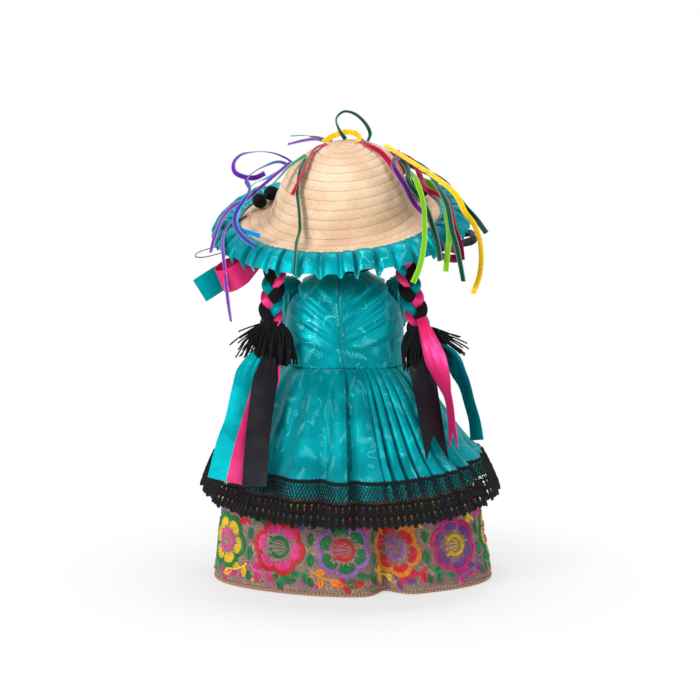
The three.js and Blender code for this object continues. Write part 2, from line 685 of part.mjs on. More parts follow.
// A gathered satin rosette, standing off the crown with its back against it
function makeRosette() {
  const seat = new THREE.Group();
  const foot = overHat([ROSETTE_AT, ROSETTE_RUN, GAP]);
  const tip = overHat([ROSETTE_AT, ROSETTE_RUN, 5]);
  seat.position.copy(foot);
  seat.quaternion.setFromUnitVectors(vec(0, 0, 1), tip.sub(foot).normalize());
  hatPlane.add(seat);
  const petals = 7;
  const lobed = (height, radius, depth) =>
    Array.from({ length: petals * 4 }, (_, i) => {
      const a = (i / (petals * 4)) * 2 * Math.PI;
      const reach = radius * (1 + depth * Math.sin(petals * a));
      return vec(reach * Math.cos(a), reach * Math.sin(a), height);
    });
  const rings = [
    lobed(0, 2.5, 0),
    lobed(3, ROSETTE_RADIUS * 0.8, 0.1),
    lobed(5.5, ROSETTE_RADIUS, 0.16),
    lobed(6.2, ROSETTE_RADIUS * 0.7, 0.1),
    lobed(5, 2.5, 0),
  ];
  add(seat, 'satin_rosette', body(rings), PINK, satin);
}

// Plait: three strands that pass over each other in turn along a hanging axis
const strandKinds = [['yarn', BLACK, woven], ['pink', PINK, satin], ['teal', TEAL, satin]];

function makePlait(side, name, route) {
  const axis = new THREE.CatmullRomCurve3(route.map((p) => vec(...p)));
  const turns = axis.getLength() / PLAIT_TURN;
  const steps = Math.round(turns * 11);
  strandKinds.forEach(([kind, color, surface], k) => {
    const points = Array.from({ length: steps + 1 }, (_, i) => {
      const phase = 2 * Math.PI * ((turns * i) / steps + k / 3);
      const across = side * PLAIT_HALF_WIDTH * Math.sin(phase);
      return axis.getPointAt(i / steps).add(vec(across, PLAIT_HALF_DEPTH * Math.sin(2 * phase), 0));
    });
    const oval = roundSection(1, 6).map(([u, v]) => [u * STRAND_HALF_WIDTH, v * STRAND_HALF_DEPTH]);
    const strand = sweep(points, oval, vec(0, 1, 0));
    add(doll, `plait_${name}_${kind}`, strand, color, surface);
  });
}

// Tassel: loose yarn ends that fan out below the plait
function makeTassel(name, [x, y, z], spread) {
  const rows = [
    [z - GAP - STRAND_HALF_WIDTH, 8.5, 5.5],
    [z - 8, 11, TASSEL_DEEP],
    [z - 16, 15, TASSEL_DEEP],
    [z - 24, 17, TASSEL_DEEP - 1],
    [z - TASSEL_LENGTH, 13, TASSEL_DEEP - 3],
  ];
  const drift = (level) => x + (spread * (z - level)) / TASSEL_LENGTH;
  add(doll, `tassel_${name}`, stuffed(rows.map(([h, w, d]) => [h, w, d, y]), 12, drift), BLACK, woven);
}

// Widths along a satin strip that is gathered narrow where it is tied
const gathered = (pinch, fromTie) => pinch + (1 - pinch) * Math.min(1, 4 * fromTie);

// A satin tail that hangs from its tie, with its width across X
function satinTail(route) {
  const points = smooth(route.map((p) => vec(...p)), 8);
  const along = points[1].clone().sub(points[0]).normalize();
  const section = flatSection(SATIN_WIDTH, SATIN_THICK);
  return sweep(points, section, along.cross(vec(1, 0, 0)).normalize(), (t) => [gathered(0.5, t), 1]);
}

// A bow's loop runs out from its knot to the tip and back, with its width along one direction
function bowLoop(knot, tip, across, width, thick, fullness) {
  const reach = tip.clone().sub(knot);
  const swell = reach.clone().cross(across).normalize();
  const steps = 16;
  const route = Array.from({ length: steps + 1 }, (_, i) => {
    const t = i / steps;
    const open = fullness * Math.sin(2 * Math.PI * t) + BOW_TIE * (0.5 - t);
    return knot.clone().addScaledVector(reach, Math.sin(Math.PI * t)).addScaledVector(swell, open);
  });
  return body(
    route.map((p, i) => {
      const t = i / steps;
      const along = route[Math.min(i + 1, steps)].clone().sub(route[Math.max(i - 1, 0)]);
      const out = along.cross(across).normalize();
      const wide = gathered(0.35, Math.min(t, 1 - t));
      return flatSection(width * wide, thick).map(([u, v]) =>
        p.clone().addScaledVector(across, u).addScaledVector(out, v),
      );
    }),
  );
}

const tails = {
  tail_left_teal: [TEAL, [
    [-66, -33.2, 151.7], [-70, -38, 146], [-76, -45, 132], [-81, -54, 107], [-87, -62, 80],
  ]],
  tail_left_pink: [PINK, [
    [-55, -35, 152], [-58, -44, 142], [-62, -55, 124], [-67, -68, 100], [-71, -80, 80],
  ]],
  tail_left_black: [BLACK, [
    [-53, -37, 152], [-56, -48, 142], [-59, -60, 122], [-61, -74, 100], [-63, -88, 74],
  ]],
  tail_right_pink: [PINK, [
    [50, -40.4, 181], [53.5, -43.5, 168], [61, -50, 146], [67, -56, 126], [72, -62, 104],
  ]],
  tail_right_black: [BLACK, [
    [50, -36, 149.2], [52, -43, 142], [55, -54, 120], [59, -64, 98],
  ]],
  tail_right_teal: [TEAL, [
    [68, -33, 148.8], [73, -36, 144], [82, -38, 132], [86, -42, 119], [90, -44, 105],
  ]],
};

// Bow loops: colour, knot, tip, direction across, width, thickness and how far the loop opens
const bows = {
  bow_left_pink: [PINK, [-46.4, -21, 237], [-90, -50, 209], [0, 0, 1], SATIN_WIDTH, SATIN_THICK, 4],
  bow_left_teal: [TEAL, [-48.3, -12, 237.5], [-99.5, -34, 206], [-0.55, 0, 0.83], SATIN_WIDTH, SATIN_THICK, 4],
  bow_left_black: [BLACK, [-49.9, -8, 241], [-104, -15, 228], [0, 1, 0], RIBBON_WIDTH, RIBBON_THICK, 3],
  bow_right_pink: [PINK, [40, -18.6, 238.2], [77, -34, 230], [0, 1, 0.2], SATIN_WIDTH, SATIN_THICK, 4],
  bow_right_black: [BLACK, [45.5, -8, 234], [89, -18, 242], [0, 1, 0.2], SATIN_WIDTH, SATIN_THICK, 4],
};

function makeSatinPieces() {
  for (const [name, [color, route]] of Object.entries(tails)) {
    add(doll, name, satinTail(route), color, satin);
  }
  for (const [name, [color, knot, tip, across, ...sizes]] of Object.entries(bows)) {
    const loop = bowLoop(vec(...knot), vec(...tip), vec(...across).normalize(), ...sizes);
    add(doll, name, loop, color, satin);
  }
}

const plaitRoutes = {
  left: [[-45.9, -26.2, PLAIT_TOP], [-48, -28, 209], [-48, -30, 196], [-49, -32, 183]],
  right: [[38.9, -26.2, PLAIT_TOP], [44, -28, 209], [47, -30, 194], [50, -33, 180]],
};

makeTorso();
makeBodice();
makeSkirt();
makeLace();
makePetticoat();
for (const [side, name] of [[-1, 'left'], [1, 'right']]) {
  makeArm(side, name);
  makeLeg(side, name);
  makePlait(side, name, plaitRoutes[name]);
  makeTassel(name, plaitRoutes[name].at(-1), side * 6);
}
makeHead();
makeHair();
makeHat();
makeRuffle();
makeGarland();
makeRosette();
makeRibbons();
makeSatinPieces();

export default doll;
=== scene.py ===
"""A stuffed cloth doll in a satin dress, with ribbon-laced plaits and a ruffled straw hat.

Lengths are in millimetres, made metres when a mesh is built. The doll faces +Y, +Z is up.
"""
import math
import random

import bpy
from mathutils import Matrix, Quaternion, Vector


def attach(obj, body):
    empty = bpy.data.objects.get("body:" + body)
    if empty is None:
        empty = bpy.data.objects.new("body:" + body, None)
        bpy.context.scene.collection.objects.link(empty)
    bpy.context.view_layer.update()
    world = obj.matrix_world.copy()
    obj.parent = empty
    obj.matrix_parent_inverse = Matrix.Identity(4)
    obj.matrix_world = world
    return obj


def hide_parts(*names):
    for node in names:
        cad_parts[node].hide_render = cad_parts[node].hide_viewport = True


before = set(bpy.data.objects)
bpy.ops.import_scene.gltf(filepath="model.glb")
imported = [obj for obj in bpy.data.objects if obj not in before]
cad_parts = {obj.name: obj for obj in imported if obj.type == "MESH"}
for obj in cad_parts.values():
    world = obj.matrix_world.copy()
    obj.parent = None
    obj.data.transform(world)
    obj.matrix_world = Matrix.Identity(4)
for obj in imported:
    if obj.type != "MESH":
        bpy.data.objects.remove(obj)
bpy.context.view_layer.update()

MM = 0.001
TAU = 2 * math.pi


def lean(z):
    """The doll leans a little to its left side as it rises."""
    return 5 - 0.034 * z


# Camera: the photograph's frame is 490 mm wide at the doll
CAMERA_AIM = Vector((2.8, 0, 160.5)) * MM
CAMERA_AWAY = 1.5
CAMERA_UP = math.radians(8)
FRAME_WIDE = 0.49
SENSOR = 36.0


def make_camera():
    data = bpy.data.cameras.new("camera")
    camera = bpy.data.objects.new("camera", data)
    bpy.context.scene.collection.objects.link(camera)
    back = Vector((0, -math.cos(CAMERA_UP), math.sin(CAMERA_UP)))
    camera.location = CAMERA_AIM + back * CAMERA_AWAY
    camera.rotation_euler = (-back).to_track_quat("-Z", "Y").to_euler()
    data.sensor_width = SENSOR
    data.lens = SENSOR * CAMERA_AWAY / FRAME_WIDE
    bpy.context.scene.camera = camera


def make_light(name, place, size, watts):
    data = bpy.data.lights.new(name, "AREA")
    data.shape = "DISK"
    data.size = size
    data.energy = watts
    lamp = bpy.data.objects.new(name, data)
    bpy.context.scene.collection.objects.link(lamp)
    lamp.location = place
    lamp.rotation_euler = (CAMERA_AIM - Vector(place)).to_track_quat("-Z", "Y").to_euler()


# Shader helpers


def new_material(name, rough=0.5, **sockets):
    material = bpy.data.materials.new(name)
    material.use_nodes = True
    shader = material.node_tree.nodes["Principled BSDF"]
    shader.inputs["Roughness"].default_value = rough
    for key, value in sockets.items():
        shader.inputs[key.replace("_", " ")].default_value = value
    return material, Nodes(material.node_tree, shader)


def rgb(hexa):
    """A written sRGB colour as the linear colour that shaders use."""
    parts = [int(hexa[i:i + 2], 16) / 255 for i in (0, 2, 4)]
    return tuple(p / 12.92 if p <= 0.04045 else ((p + 0.055) / 1.055) ** 2.4 for p in parts) + (1,)


class Nodes:
    """Short names for the shader nodes that the finishes share."""

    def __init__(self, tree, shader):
        self.tree = tree
        self.shader = shader
        self.coords = tree.nodes.new("ShaderNodeTexCoord")

    def new(self, kind, **settings):
        node = self.tree.nodes.new("ShaderNode" + kind)
        for key, value in settings.items():
            setattr(node, key, value)
        return node

    def link(self, a, b):
        self.tree.links.new(a, b)

    def feed(self, socket, value):
        if isinstance(value, bpy.types.NodeSocket):
            self.link(value, socket)
        else:
            socket.default_value = value

    def paint(self, colour):
        self.link(colour, self.shader.inputs["Base Color"])

    def place(self, source="Object", turn=0.0):
        mapping = self.new("Mapping")
        self.link(self.coords.outputs[source], mapping.inputs["Vector"])
        mapping.inputs["Rotation"].default_value = (0, 0, turn)
        return mapping.outputs[0]

    def texture(self, node, where, **inputs):
        self.link(where, node.inputs["Vector"])
        for name, value in inputs.items():
            node.inputs[name].default_value = value
        return node

    def noise(self, where, scale, detail=2.0, rough=0.5):
        node = self.new("TexNoise")
        return self.texture(node, where, Scale=scale, Detail=detail, Roughness=rough).outputs["Fac"]

    def wave(self, where, scale, distort=0.0, direction="X"):
        node = self.new("TexWave", bands_direction=direction)
        return self.texture(node, where, Scale=scale, Distortion=distort).outputs["Fac"]

    def cells(self, where, scale, feature="F1", jitter=1.0):
        return self.texture(self.new("TexVoronoi", feature=feature), where, Scale=scale, Randomness=jitter)

    def scattered(self, where, scale, jitter):
        """In each cell, x and y from its middle, turned at random, with their reach and angle."""
        cell = self.cells(where, scale, jitter=jitter)
        away = self.new("VectorMath", operation="SUBTRACT")
        self.link(where, away.inputs[0])
        self.link(cell.outputs["Position"], away.inputs[1])
        x, y, _ = self.split(away.outputs[0])
        reach = self.reach(x, y)
        chance = self.split(cell.outputs["Color"])[0]
        angle = self.plus(self.math("ARCTAN2", y, x), self.times(chance, TAU))
        turned = [self.times(reach, self.math(kind, angle)) for kind in ("COSINE", "SINE")]
        return (*turned, (reach, angle))

    def math(self, kind, a, b=0.0, c=0.0):
        node = self.new("Math", operation=kind)
        for socket, value in zip(node.inputs, (a, b, c)):
            self.feed(socket, value)
        return node.outputs[0]

    def times(self, a, b):
        return self.math("MULTIPLY", a, b)

    def plus(self, a, b):
        return self.math("ADD", a, b)

    def minus(self, a, b):
        return self.math("SUBTRACT", a, b)

    def apart(self, a, b):
        """How far a is from b."""
        return self.math("ABSOLUTE", self.minus(a, b))

    def reach(self, x, y):
        """The length of (x, y)."""
        return self.math("SQRT", self.plus(self.times(x, x), self.times(y, y)))

    def step(self, value, low, high, to_low=0.0, to_high=1.0):
        """Maps low..high smoothly to the two targets."""
        node = self.new("MapRange", interpolation_type="SMOOTHSTEP")
        for socket, item in zip(node.inputs, (value, low, high, to_low, to_high)):
            self.feed(socket, item)
        return node.outputs[0]

    def mix(self, share, a, b):
        node = self.new("Mix", data_type="RGBA")
        self.feed(node.inputs[0], share)
        self.feed(node.inputs[6], a)
        self.feed(node.inputs[7], b)
        return node.outputs[2]

    def bump(self, height, strength, deep, over=None):
        node = self.new("Bump")
        node.inputs["Strength"].default_value = strength
        node.inputs["Distance"].default_value = deep
        self.link(height, node.inputs["Height"])
        if over:
            self.link(over, node.inputs["Normal"])
        self.link(node.outputs[0], self.shader.inputs["Normal"])
        return node.outputs[0]

    def split(self, vector):
        node = self.new("SeparateXYZ")
        self.link(vector, node.inputs[0])
        return node.outputs

    def join(self, x, y=0.0, z=0.0):
        node = self.new("CombineXYZ")
        for socket, value in zip(node.inputs, (x, y, z)):
            self.feed(socket, value)
        return node.outputs[0]


# Finishes. Cloth pieces carry a UV map in centimetres of cloth: across, then along.


def satin(name, plain, light, dark, figured=False):
    """Glossy satin with a fine weave, soft crumples and, on the dress, a woven figure."""
    sheen = {"Metallic": 0.35, "Specular_IOR_Level": 0.3, "Specular_Tint": rgb(light)}
    material, n = new_material(name, 0.4, **sheen)
    cloth = n.place("UV")
    tone = n.noise(n.place(), 38, 3)
    colour = n.mix(n.step(tone, 0.32, 0.68), rgb(dark), rgb(plain))
    threads = n.wave(cloth, 28, 0.0, "Y")
    crumple = n.noise(n.place(), 110, 3, 0.6)
    if figured:
        mark = brocade_figure(n, cloth)
        # The woven figure is a real pattern, but painting it in the satin's highlight colour is painted
        # sheen; its lower roughness below is its real sheen.
        colour = n.mix(n.times(mark, 0.55), colour, rgb(light))
        n.link(n.step(mark, 0, 1, 0.4, 0.25), n.shader.inputs["Roughness"])
        raised = n.bump(mark, 0.4, 0.0003)
    else:
        raised = n.bump(n.noise(cloth, 3, 2), 0.15, 0.0003)
    wrinkled = n.bump(crumple, 0.3, 0.0016, raised)
    n.bump(threads, 0.12, 0.0001, wrinkled)
    n.paint(colour)
    return material


def brocade_figure(n, cloth):
    """Ferny sprigs turned every way, small five-petalled flowers and thin vines, woven into the satin."""
    x, y, _ = n.scattered(cloth, 0.44, 0.8)
    bent = n.apart(y, n.times(n.math("SINE", n.times(x, 2.6)), 0.13))
    length = n.step(n.math("ABSOLUTE", x), 0.72, 0.78, 1, 0)
    stem = n.step(bent, 0.012, 0.026, 1, 0)
    ribs = n.math("FRACT", n.minus(n.times(x, 5.0), n.times(bent, 5.5)))
    spread = n.math("MULTIPLY_ADD", n.math("ABSOLUTE", x), -0.2, 0.26)
    inside = n.step(n.minus(bent, spread), -0.02, 0.0, 1, 0)
    leaves = n.times(n.step(ribs, 0.28, 0.36, 1, 0), inside)
    sprig = n.times(n.math("MAXIMUM", stem, leaves), length)
    _, _, (reach, angle) = n.scattered(n.place("UV", 0.8), 0.42, 0.7)
    petals = n.math("COSINE", n.times(angle, 5))
    ring = n.step(n.apart(reach, n.math("MULTIPLY_ADD", petals, 0.07, 0.2)), 0.014, 0.032, 1, 0)
    heart = n.step(reach, 0.05, 0.07, 1, 0)
    vine = n.apart(n.noise(cloth, 0.5, 1), 0.5)
    line = n.times(n.step(vine, 0.003, 0.007, 1, 0), n.step(n.noise(cloth, 0.9, 1), 0.5, 0.55))
    return n.math("MAXIMUM", n.math("MAXIMUM", ring, heart), n.math("MAXIMUM", sprig, line))


def narrow_ribbon(name, plain, edge, figure=None):
    """Narrow satin ribbon whose edges carry a brighter thread. U runs 0 to 1 across it."""
    material, n = new_material(name, 0.34, Specular_IOR_Level=0.45, Specular_Tint=rgb(edge))
    u, v, _ = n.split(n.coords.outputs["UV"])
    side = n.step(n.apart(u, 0.5), 0.33, 0.38)
    dashes = n.step(n.wave(n.join(v), 3.2, 0.6), 0.2, 0.5, 0.35, 1)
    colour = n.mix(n.times(side, dashes), rgb(plain), rgb(edge))
    if figure:
        spots = n.step(n.cells(n.join(u, n.times(v, 2.0)), 3.0).outputs["Distance"], 0.25, 0.3)
        colour = n.mix(spots, rgb(figure), colour)
    n.paint(colour)
    n.bump(n.wave(n.join(v), 14), 0.25, 0.0001)
    return material


def cotton(name):
    """Plain cotton over stuffing, with an even weave and a faint uneven dye."""
    material, n = new_material(name, 0.85, Sheen_Weight=0.3)
    place = n.place()
    colour = n.mix(n.step(n.noise(place, 60, 3), 0.3, 0.7), rgb("DDB58E"), rgb("E8C7A4"))
    n.paint(colour)
    warp = n.wave(place, 900, 0.4, "X")
    weft = n.wave(place, 900, 0.4, "Z")
    lumps = n.bump(n.noise(place, 90, 2), 0.2, 0.0012)
    n.bump(n.times(warp, weft), 0.35, 0.0001, lumps)
    return material, n, colour


def face_cotton():
    """The head's cotton, with a soft blush on each cheek."""
    material, n, colour = cotton("head_cotton")
    x, y, z = n.split(n.coords.outputs["Object"])
    front = n.step(y, 0.02, 0.03)
    for side in (-1, 1):
        across = n.minus(x, (lean(HEAD_UP) + side * CHEEK_OUT) * MM)
        up = n.minus(z, (HEAD_UP + CHEEK_DROP) * MM)
        blush = n.times(n.step(n.reach(across, up), 0.0015, 0.0075, 0.55, 0), front)
        colour = n.mix(blush, colour, rgb("E0705F"))
    n.paint(colour)
    return material


def wool():
    """Plied black yarn: V runs along the yarn in centimetres, U once around it."""
    material, n = new_material("black_wool", 0.8, Specular_IOR_Level=0.25)
    u, v, _ = n.split(n.coords.outputs["UV"])
    ply = n.wave(n.join(n.math("MULTIPLY_ADD", v, 3.0, n.times(u, 0.6))), 2.0)
    fuzz = n.noise(n.place(), 900, 2)
    # The ply crests are painted lighter and the grooves between them darker: painted highlight and shade on
    # the twist, flecked at random by the fuzz.
    shade = n.times(ply, n.step(fuzz, 0.3, 0.7, 0.4, 1))
    n.paint(n.mix(shade, rgb("050506"), rgb("15151A")))
    n.bump(n.plus(ply, n.times(fuzz, 0.7)), 0.6, 0.0003)
    return material


def palm_straw():
    """Sewn palm braid: U is centimetres round the hat, V counts the courses of braid."""
    material, n = new_material("palm_straw", 0.62, Specular_IOR_Level=0.35)
    u, v, _ = n.split(n.coords.outputs["UV"])
    course = n.math("FRACT", v)
    row = n.math("FLOOR", v)
    off_middle = n.apart(course, 0.5)
    slant = n.plus(n.times(u, 1.6), n.math("MULTIPLY_ADD", off_middle, 1.5, n.times(row, 0.37)))
    strip = n.math("FRACT", slant)
    gap = n.step(n.apart(strip, 0.5), 0.44, 0.5)
    broken = n.step(n.noise(n.join(u, n.times(v, 1.6)), 2.2, 3), 0.46, 0.56)
    line = n.times(gap, broken)
    fibre = n.noise(n.join(n.times(slant, 16.0), n.times(v, 1.2)), 1.0, 3)
    blotch = n.noise(n.place(), 55, 3)
    base = n.mix(n.step(blotch, 0.32, 0.7), rgb("DBB490"), rgb("EDCDAC"))
    base = n.mix(n.step(fibre, 0.4, 0.75, 0, 0.45), base, rgb("F7DFC4"))
    base = n.mix(n.times(line, 0.5), base, rgb("8A6648"))
    # The join between courses is painted dark brown: partly the thread that sews them, partly painted shadow
    # under the lapped edge of the course above.
    seam = n.step(off_middle, 0.455, 0.5)
    patchy = n.step(n.noise(n.join(n.times(u, 0.6), row), 1.5, 2), 0.3, 0.6, 0.25, 0.85)
    base = n.mix(n.times(seam, patchy), base, rgb("5D4430"))
    n.paint(base)
    leaf = n.bump(n.minus(fibre, n.times(line, 1.5)), 0.4, 0.0003)
    n.bump(n.noise(n.place(), 420, 2), 0.2, 0.0002, leaf)
    return material


def crochet_cotton():
    """Twisted black cotton, looped so closely that it looks lumpy, with painted highlights on the loops and
    painted shade between them.
    """
    material, n = new_material("crochet_cotton", 0.7, Specular_IOR_Level=0.3)
    u, v, _ = n.split(n.coords.outputs["UV"])
    twist = n.wave(n.join(n.plus(n.times(v, 6.0), u)), 2.0)
    loops = n.step(n.cells(n.place(), 620).outputs["Distance"], 0.15, 0.6, 1, 0)
    # Each loop's crown is painted lighter and the hollows between loops darker, banded by the twist: painted
    # highlight and shade that follow the bump.
    shade = n.times(loops, n.math("MULTIPLY_ADD", twist, 0.5, 0.5))
    n.paint(n.mix(shade, rgb("030304"), rgb("1C1B1F")))
    low = n.bump(loops, 1.0, 0.0009)
    n.bump(twist, 0.5, 0.0002, low)
    return material


def embroidered_ground():
    """The petticoat's netting: a fine mesh, filled with wandering running stitches."""
    material, n = new_material("petticoat_ground", 0.8, Sheen_Weight=0.2)
    cloth = n.place("UV")
    patch = n.noise(cloth, 0.55, 2)
    base = n.mix(n.step(patch, 0.42, 0.6), rgb("7C6C58"), rgb("8A6068"))
    greener = n.noise(n.place("UV", 1.3), 0.5, 2)
    base = n.mix(n.step(greener, 0.52, 0.66, 0, 0.7), base, rgb("56634C"))
    curl = n.cells(cloth, 4.2, "DISTANCE_TO_EDGE").outputs["Distance"]
    line = n.step(curl, 0.03, 0.1, 1, 0)
    thread = n.mix(n.step(n.noise(cloth, 0.8, 1), 0.4, 0.6), rgb("C2A47C"), rgb("B0708A"))
    n.paint(n.mix(n.times(line, 0.8), base, thread))
    net = n.times(n.wave(cloth, 9, 0.0, "X"), n.wave(cloth, 9, 0.0, "Y"))
    low = n.bump(net, 0.4, 0.0002)
    n.bump(line, 0.6, 0.0004, low)
    return material


def embroidery_thread():
    """Glossy embroidery thread, dyed by the thread attribute."""
    material, n = new_material("embroidery_thread", 0.45, Sheen_Weight=0.3)
    dye = n.new("VertexColor", layer_name="thread")
    shade = n.noise(n.place(), 1500, 1)
    darker = n.mix(n.step(shade, 0.3, 0.7, 0.25, 0), dye.outputs["Color"], (0, 0, 0, 1))
    n.paint(darker)
    n.bump(shade, 0.3, 0.0001)
    return material


def edging():
    material, n = new_material("gold_edging", 0.42, Metallic=0.35)
    u, v, _ = n.split(n.coords.outputs["UV"])
    ply = n.wave(n.join(n.math("MULTIPLY_ADD", v, 2.2, u)), 2.0)
    colour = n.mix(ply, rgb("8C4656"), rgb("CFAE7E"))
    n.paint(colour)
    n.bump(ply, 0.6, 0.0003)
    return material


def leather():
    material, n = new_material("shoe_leather", 0.32)
    place = n.place()
    n.paint(n.mix(n.noise(place, 80, 2), rgb("0E0B0C"), rgb("231C1D")))
    n.bump(n.cells(place, 900).outputs["Distance"], 0.25, 0.0002)
    return material


def stitching_thread(name, plain, light):
    material, n = new_material(name, 0.6)
    twist = n.noise(n.place(), 2500, 1)
    n.paint(n.mix(twist, rgb(plain), rgb(light)))
    return material


# Mesh helpers


def mesh_object(name, points, faces, corner_uvs=None):
    mesh = bpy.data.meshes.new(name)
    mesh.from_pydata([tuple(Vector(p) * MM) for p in points], [], faces)
    if corner_uvs:
        layer = mesh.uv_layers.new(name="UVMap")
        layer.data.foreach_set("uv", [value for uv in corner_uvs for value in uv])
    obj = bpy.data.objects.new(name, mesh)
    bpy.context.scene.collection.objects.link(obj)
    return obj


def cloth_grid(name, rows, uv, thick=0.0, angle=40.0):
    """Rings of points, each joined to the next all round, as a cloth of the given thickness."""
    count = len(rows[0])
    faces = []
    corners = []
    for i in range(len(rows) - 1):
        for j in range(count):
            k = (j + 1) % count
            faces.append((i * count + j, i * count + k, (i + 1) * count + k, (i + 1) * count + j))
            corners += [uv(i, j), uv(i, j + 1), uv(i + 1, j + 1), uv(i + 1, j)]
    obj = mesh_object(name, [p for row in rows for p in row], faces, corners)
    if thick:
        thicken(obj, thick)
    shade(obj, angle)
    return obj


def alone(obj):
    bpy.ops.object.select_all(action="DESELECT")
    obj.select_set(True)
    bpy.context.view_layer.objects.active = obj


def apply(obj, kind, **settings):
    alone(obj)
    modifier = obj.modifiers.new(kind, kind)
    for key, value in settings.items():
        setattr(modifier, key, value)
    bpy.ops.object.modifier_apply(modifier=modifier.name)


def thicken(obj, thick):
    apply(obj, "SOLIDIFY", thickness=thick * MM, offset=0.0)


def recalculate(obj):
    alone(obj)
    bpy.ops.object.mode_set(mode="EDIT")
    bpy.ops.mesh.select_all(action="SELECT")
    bpy.ops.mesh.normals_make_consistent(inside=False)
    bpy.ops.object.mode_set(mode="OBJECT")


def shade(obj, angle=40.0):
    recalculate(obj)
    bpy.ops.object.shade_smooth_by_angle(angle=math.radians(angle))


def dress(obj, material, slot, body, *nodes):
    """Gives a piece its finish and the body it rides on, and hides the solids it stands for. Its slot is not
    used.
    """
    obj.data.materials.append(material)
    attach(obj, body)
    if nodes:
        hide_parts(*nodes)


def eased(f, a, slope_a, b, slope_b):
    """At share f of the way from a to b, leaving and arriving at the given slopes."""
    h00, h10 = (1 + 2 * f) * (1 - f) ** 2, f * (1 - f) ** 2
    h01, h11 = f * f * (3 - 2 * f), f * f * (f - 1)
    return a * h00 + slope_a * h10 + b * h01 + slope_b * h11


def through(rows, t):
    """A smooth curve through rows of [t, ...values], flat where the rows end."""
    if t <= rows[0][0]:
        return list(rows[0][1:])
    if t >= rows[-1][0]:
        return list(rows[-1][1:])
    i = next(k for k, row in enumerate(rows) if row[0] >= t)
    low, high = rows[i - 1], rows[i]
    f = (t - low[0]) / (high[0] - low[0])
    before, after = rows[max(0, i - 2)], rows[min(len(rows) - 1, i + 1)]
    out = []
    for k in range(1, len(low)):
        m0 = (high[k] - before[k]) / (high[0] - before[0]) * (high[0] - low[0])
        m1 = (after[k] - low[k]) / (after[0] - low[0]) * (high[0] - low[0])
        out.append(eased(f, low[k], m0, high[k], m1))
    return out


def between(rows, t):
    """Straight lines through rows of [t, ...values], carried on past both ends."""
    i = next((k for k, row in enumerate(rows) if row[0] >= t), len(rows) - 1)
    i = max(1, i)
    low, high = rows[i - 1], rows[i]
    f = (t - low[0]) / (high[0] - low[0])
    return [a + f * (b - a) for a, b in zip(low[1:], high[1:])]


def smooth_line(points, per_span):
    """A curve through the points with even speed, as a bent strip takes."""
    points = [Vector(p) for p in points]
    ends = [points[0] * 2 - points[1]] + points + [points[-1] * 2 - points[-2]]
    out = []
    for i in range(1, len(ends) - 2):
        a, b, c, d = ends[i - 1:i + 3]
        ab, bc, cd = (max(1e-6, (q - p).length ** 0.5) for p, q in ((a, b), (b, c), (c, d)))
        m0 = ((b - a) / ab - (c - a) / (ab + bc) + (c - b) / bc) * bc
        m1 = ((c - b) / bc - (d - b) / (bc + cd) + (d - c) / cd) * bc
        out += [eased(k / per_span, b, m0, c, m1) for k in range(per_span)]
    out.append(points[-1])
    return out


def way_at(points, i):
    """The way along a line at one of its points."""
    return (points[min(i + 1, len(points) - 1)] - points[max(i - 1, 0)]).normalized()


def runs_along(points):
    """How far along a line each of its points lies."""
    runs = [0.0]
    for a, b in zip(points, points[1:]):
        runs.append(runs[-1] + (b - a).length)
    return runs


def line_length(points):
    return runs_along(points)[-1]


def edge_runs(edge):
    """Centimetres along a closed edge at each of its points, and all round it at the end."""
    return [run / 10 for run in runs_along(edge + edge[:1])]


def angles(count):
    """Even steps once round."""
    return [TAU * k / count for k in range(count)]


def circle(count):
    """The cosine and sine at even steps once round."""
    return [(math.cos(a), math.sin(a)) for a in angles(count)]


def hoop(count):
    """As a circle, but ending where it begins."""
    return circle(count) + circle(count)[:1]


def oval(a, wide, deep, z, middle=0.0):
    """A point of a level oval, from its half width and half depth, with its middle moved across."""
    return Vector((middle + wide * math.cos(a), deep * math.sin(a), z))


def frames(points, normal):
    """At each point: the way along, the way across and the face's normal, without twisting."""
    out = []
    up = Vector(normal)
    before = None
    for i, p in enumerate(points):
        along = way_at(points, i)
        if before is not None:
            up = before.rotation_difference(along) @ up
        before = along
        up = (up - along * up.dot(along)).normalized()
        out.append((p, along, along.cross(up), up))
    return out


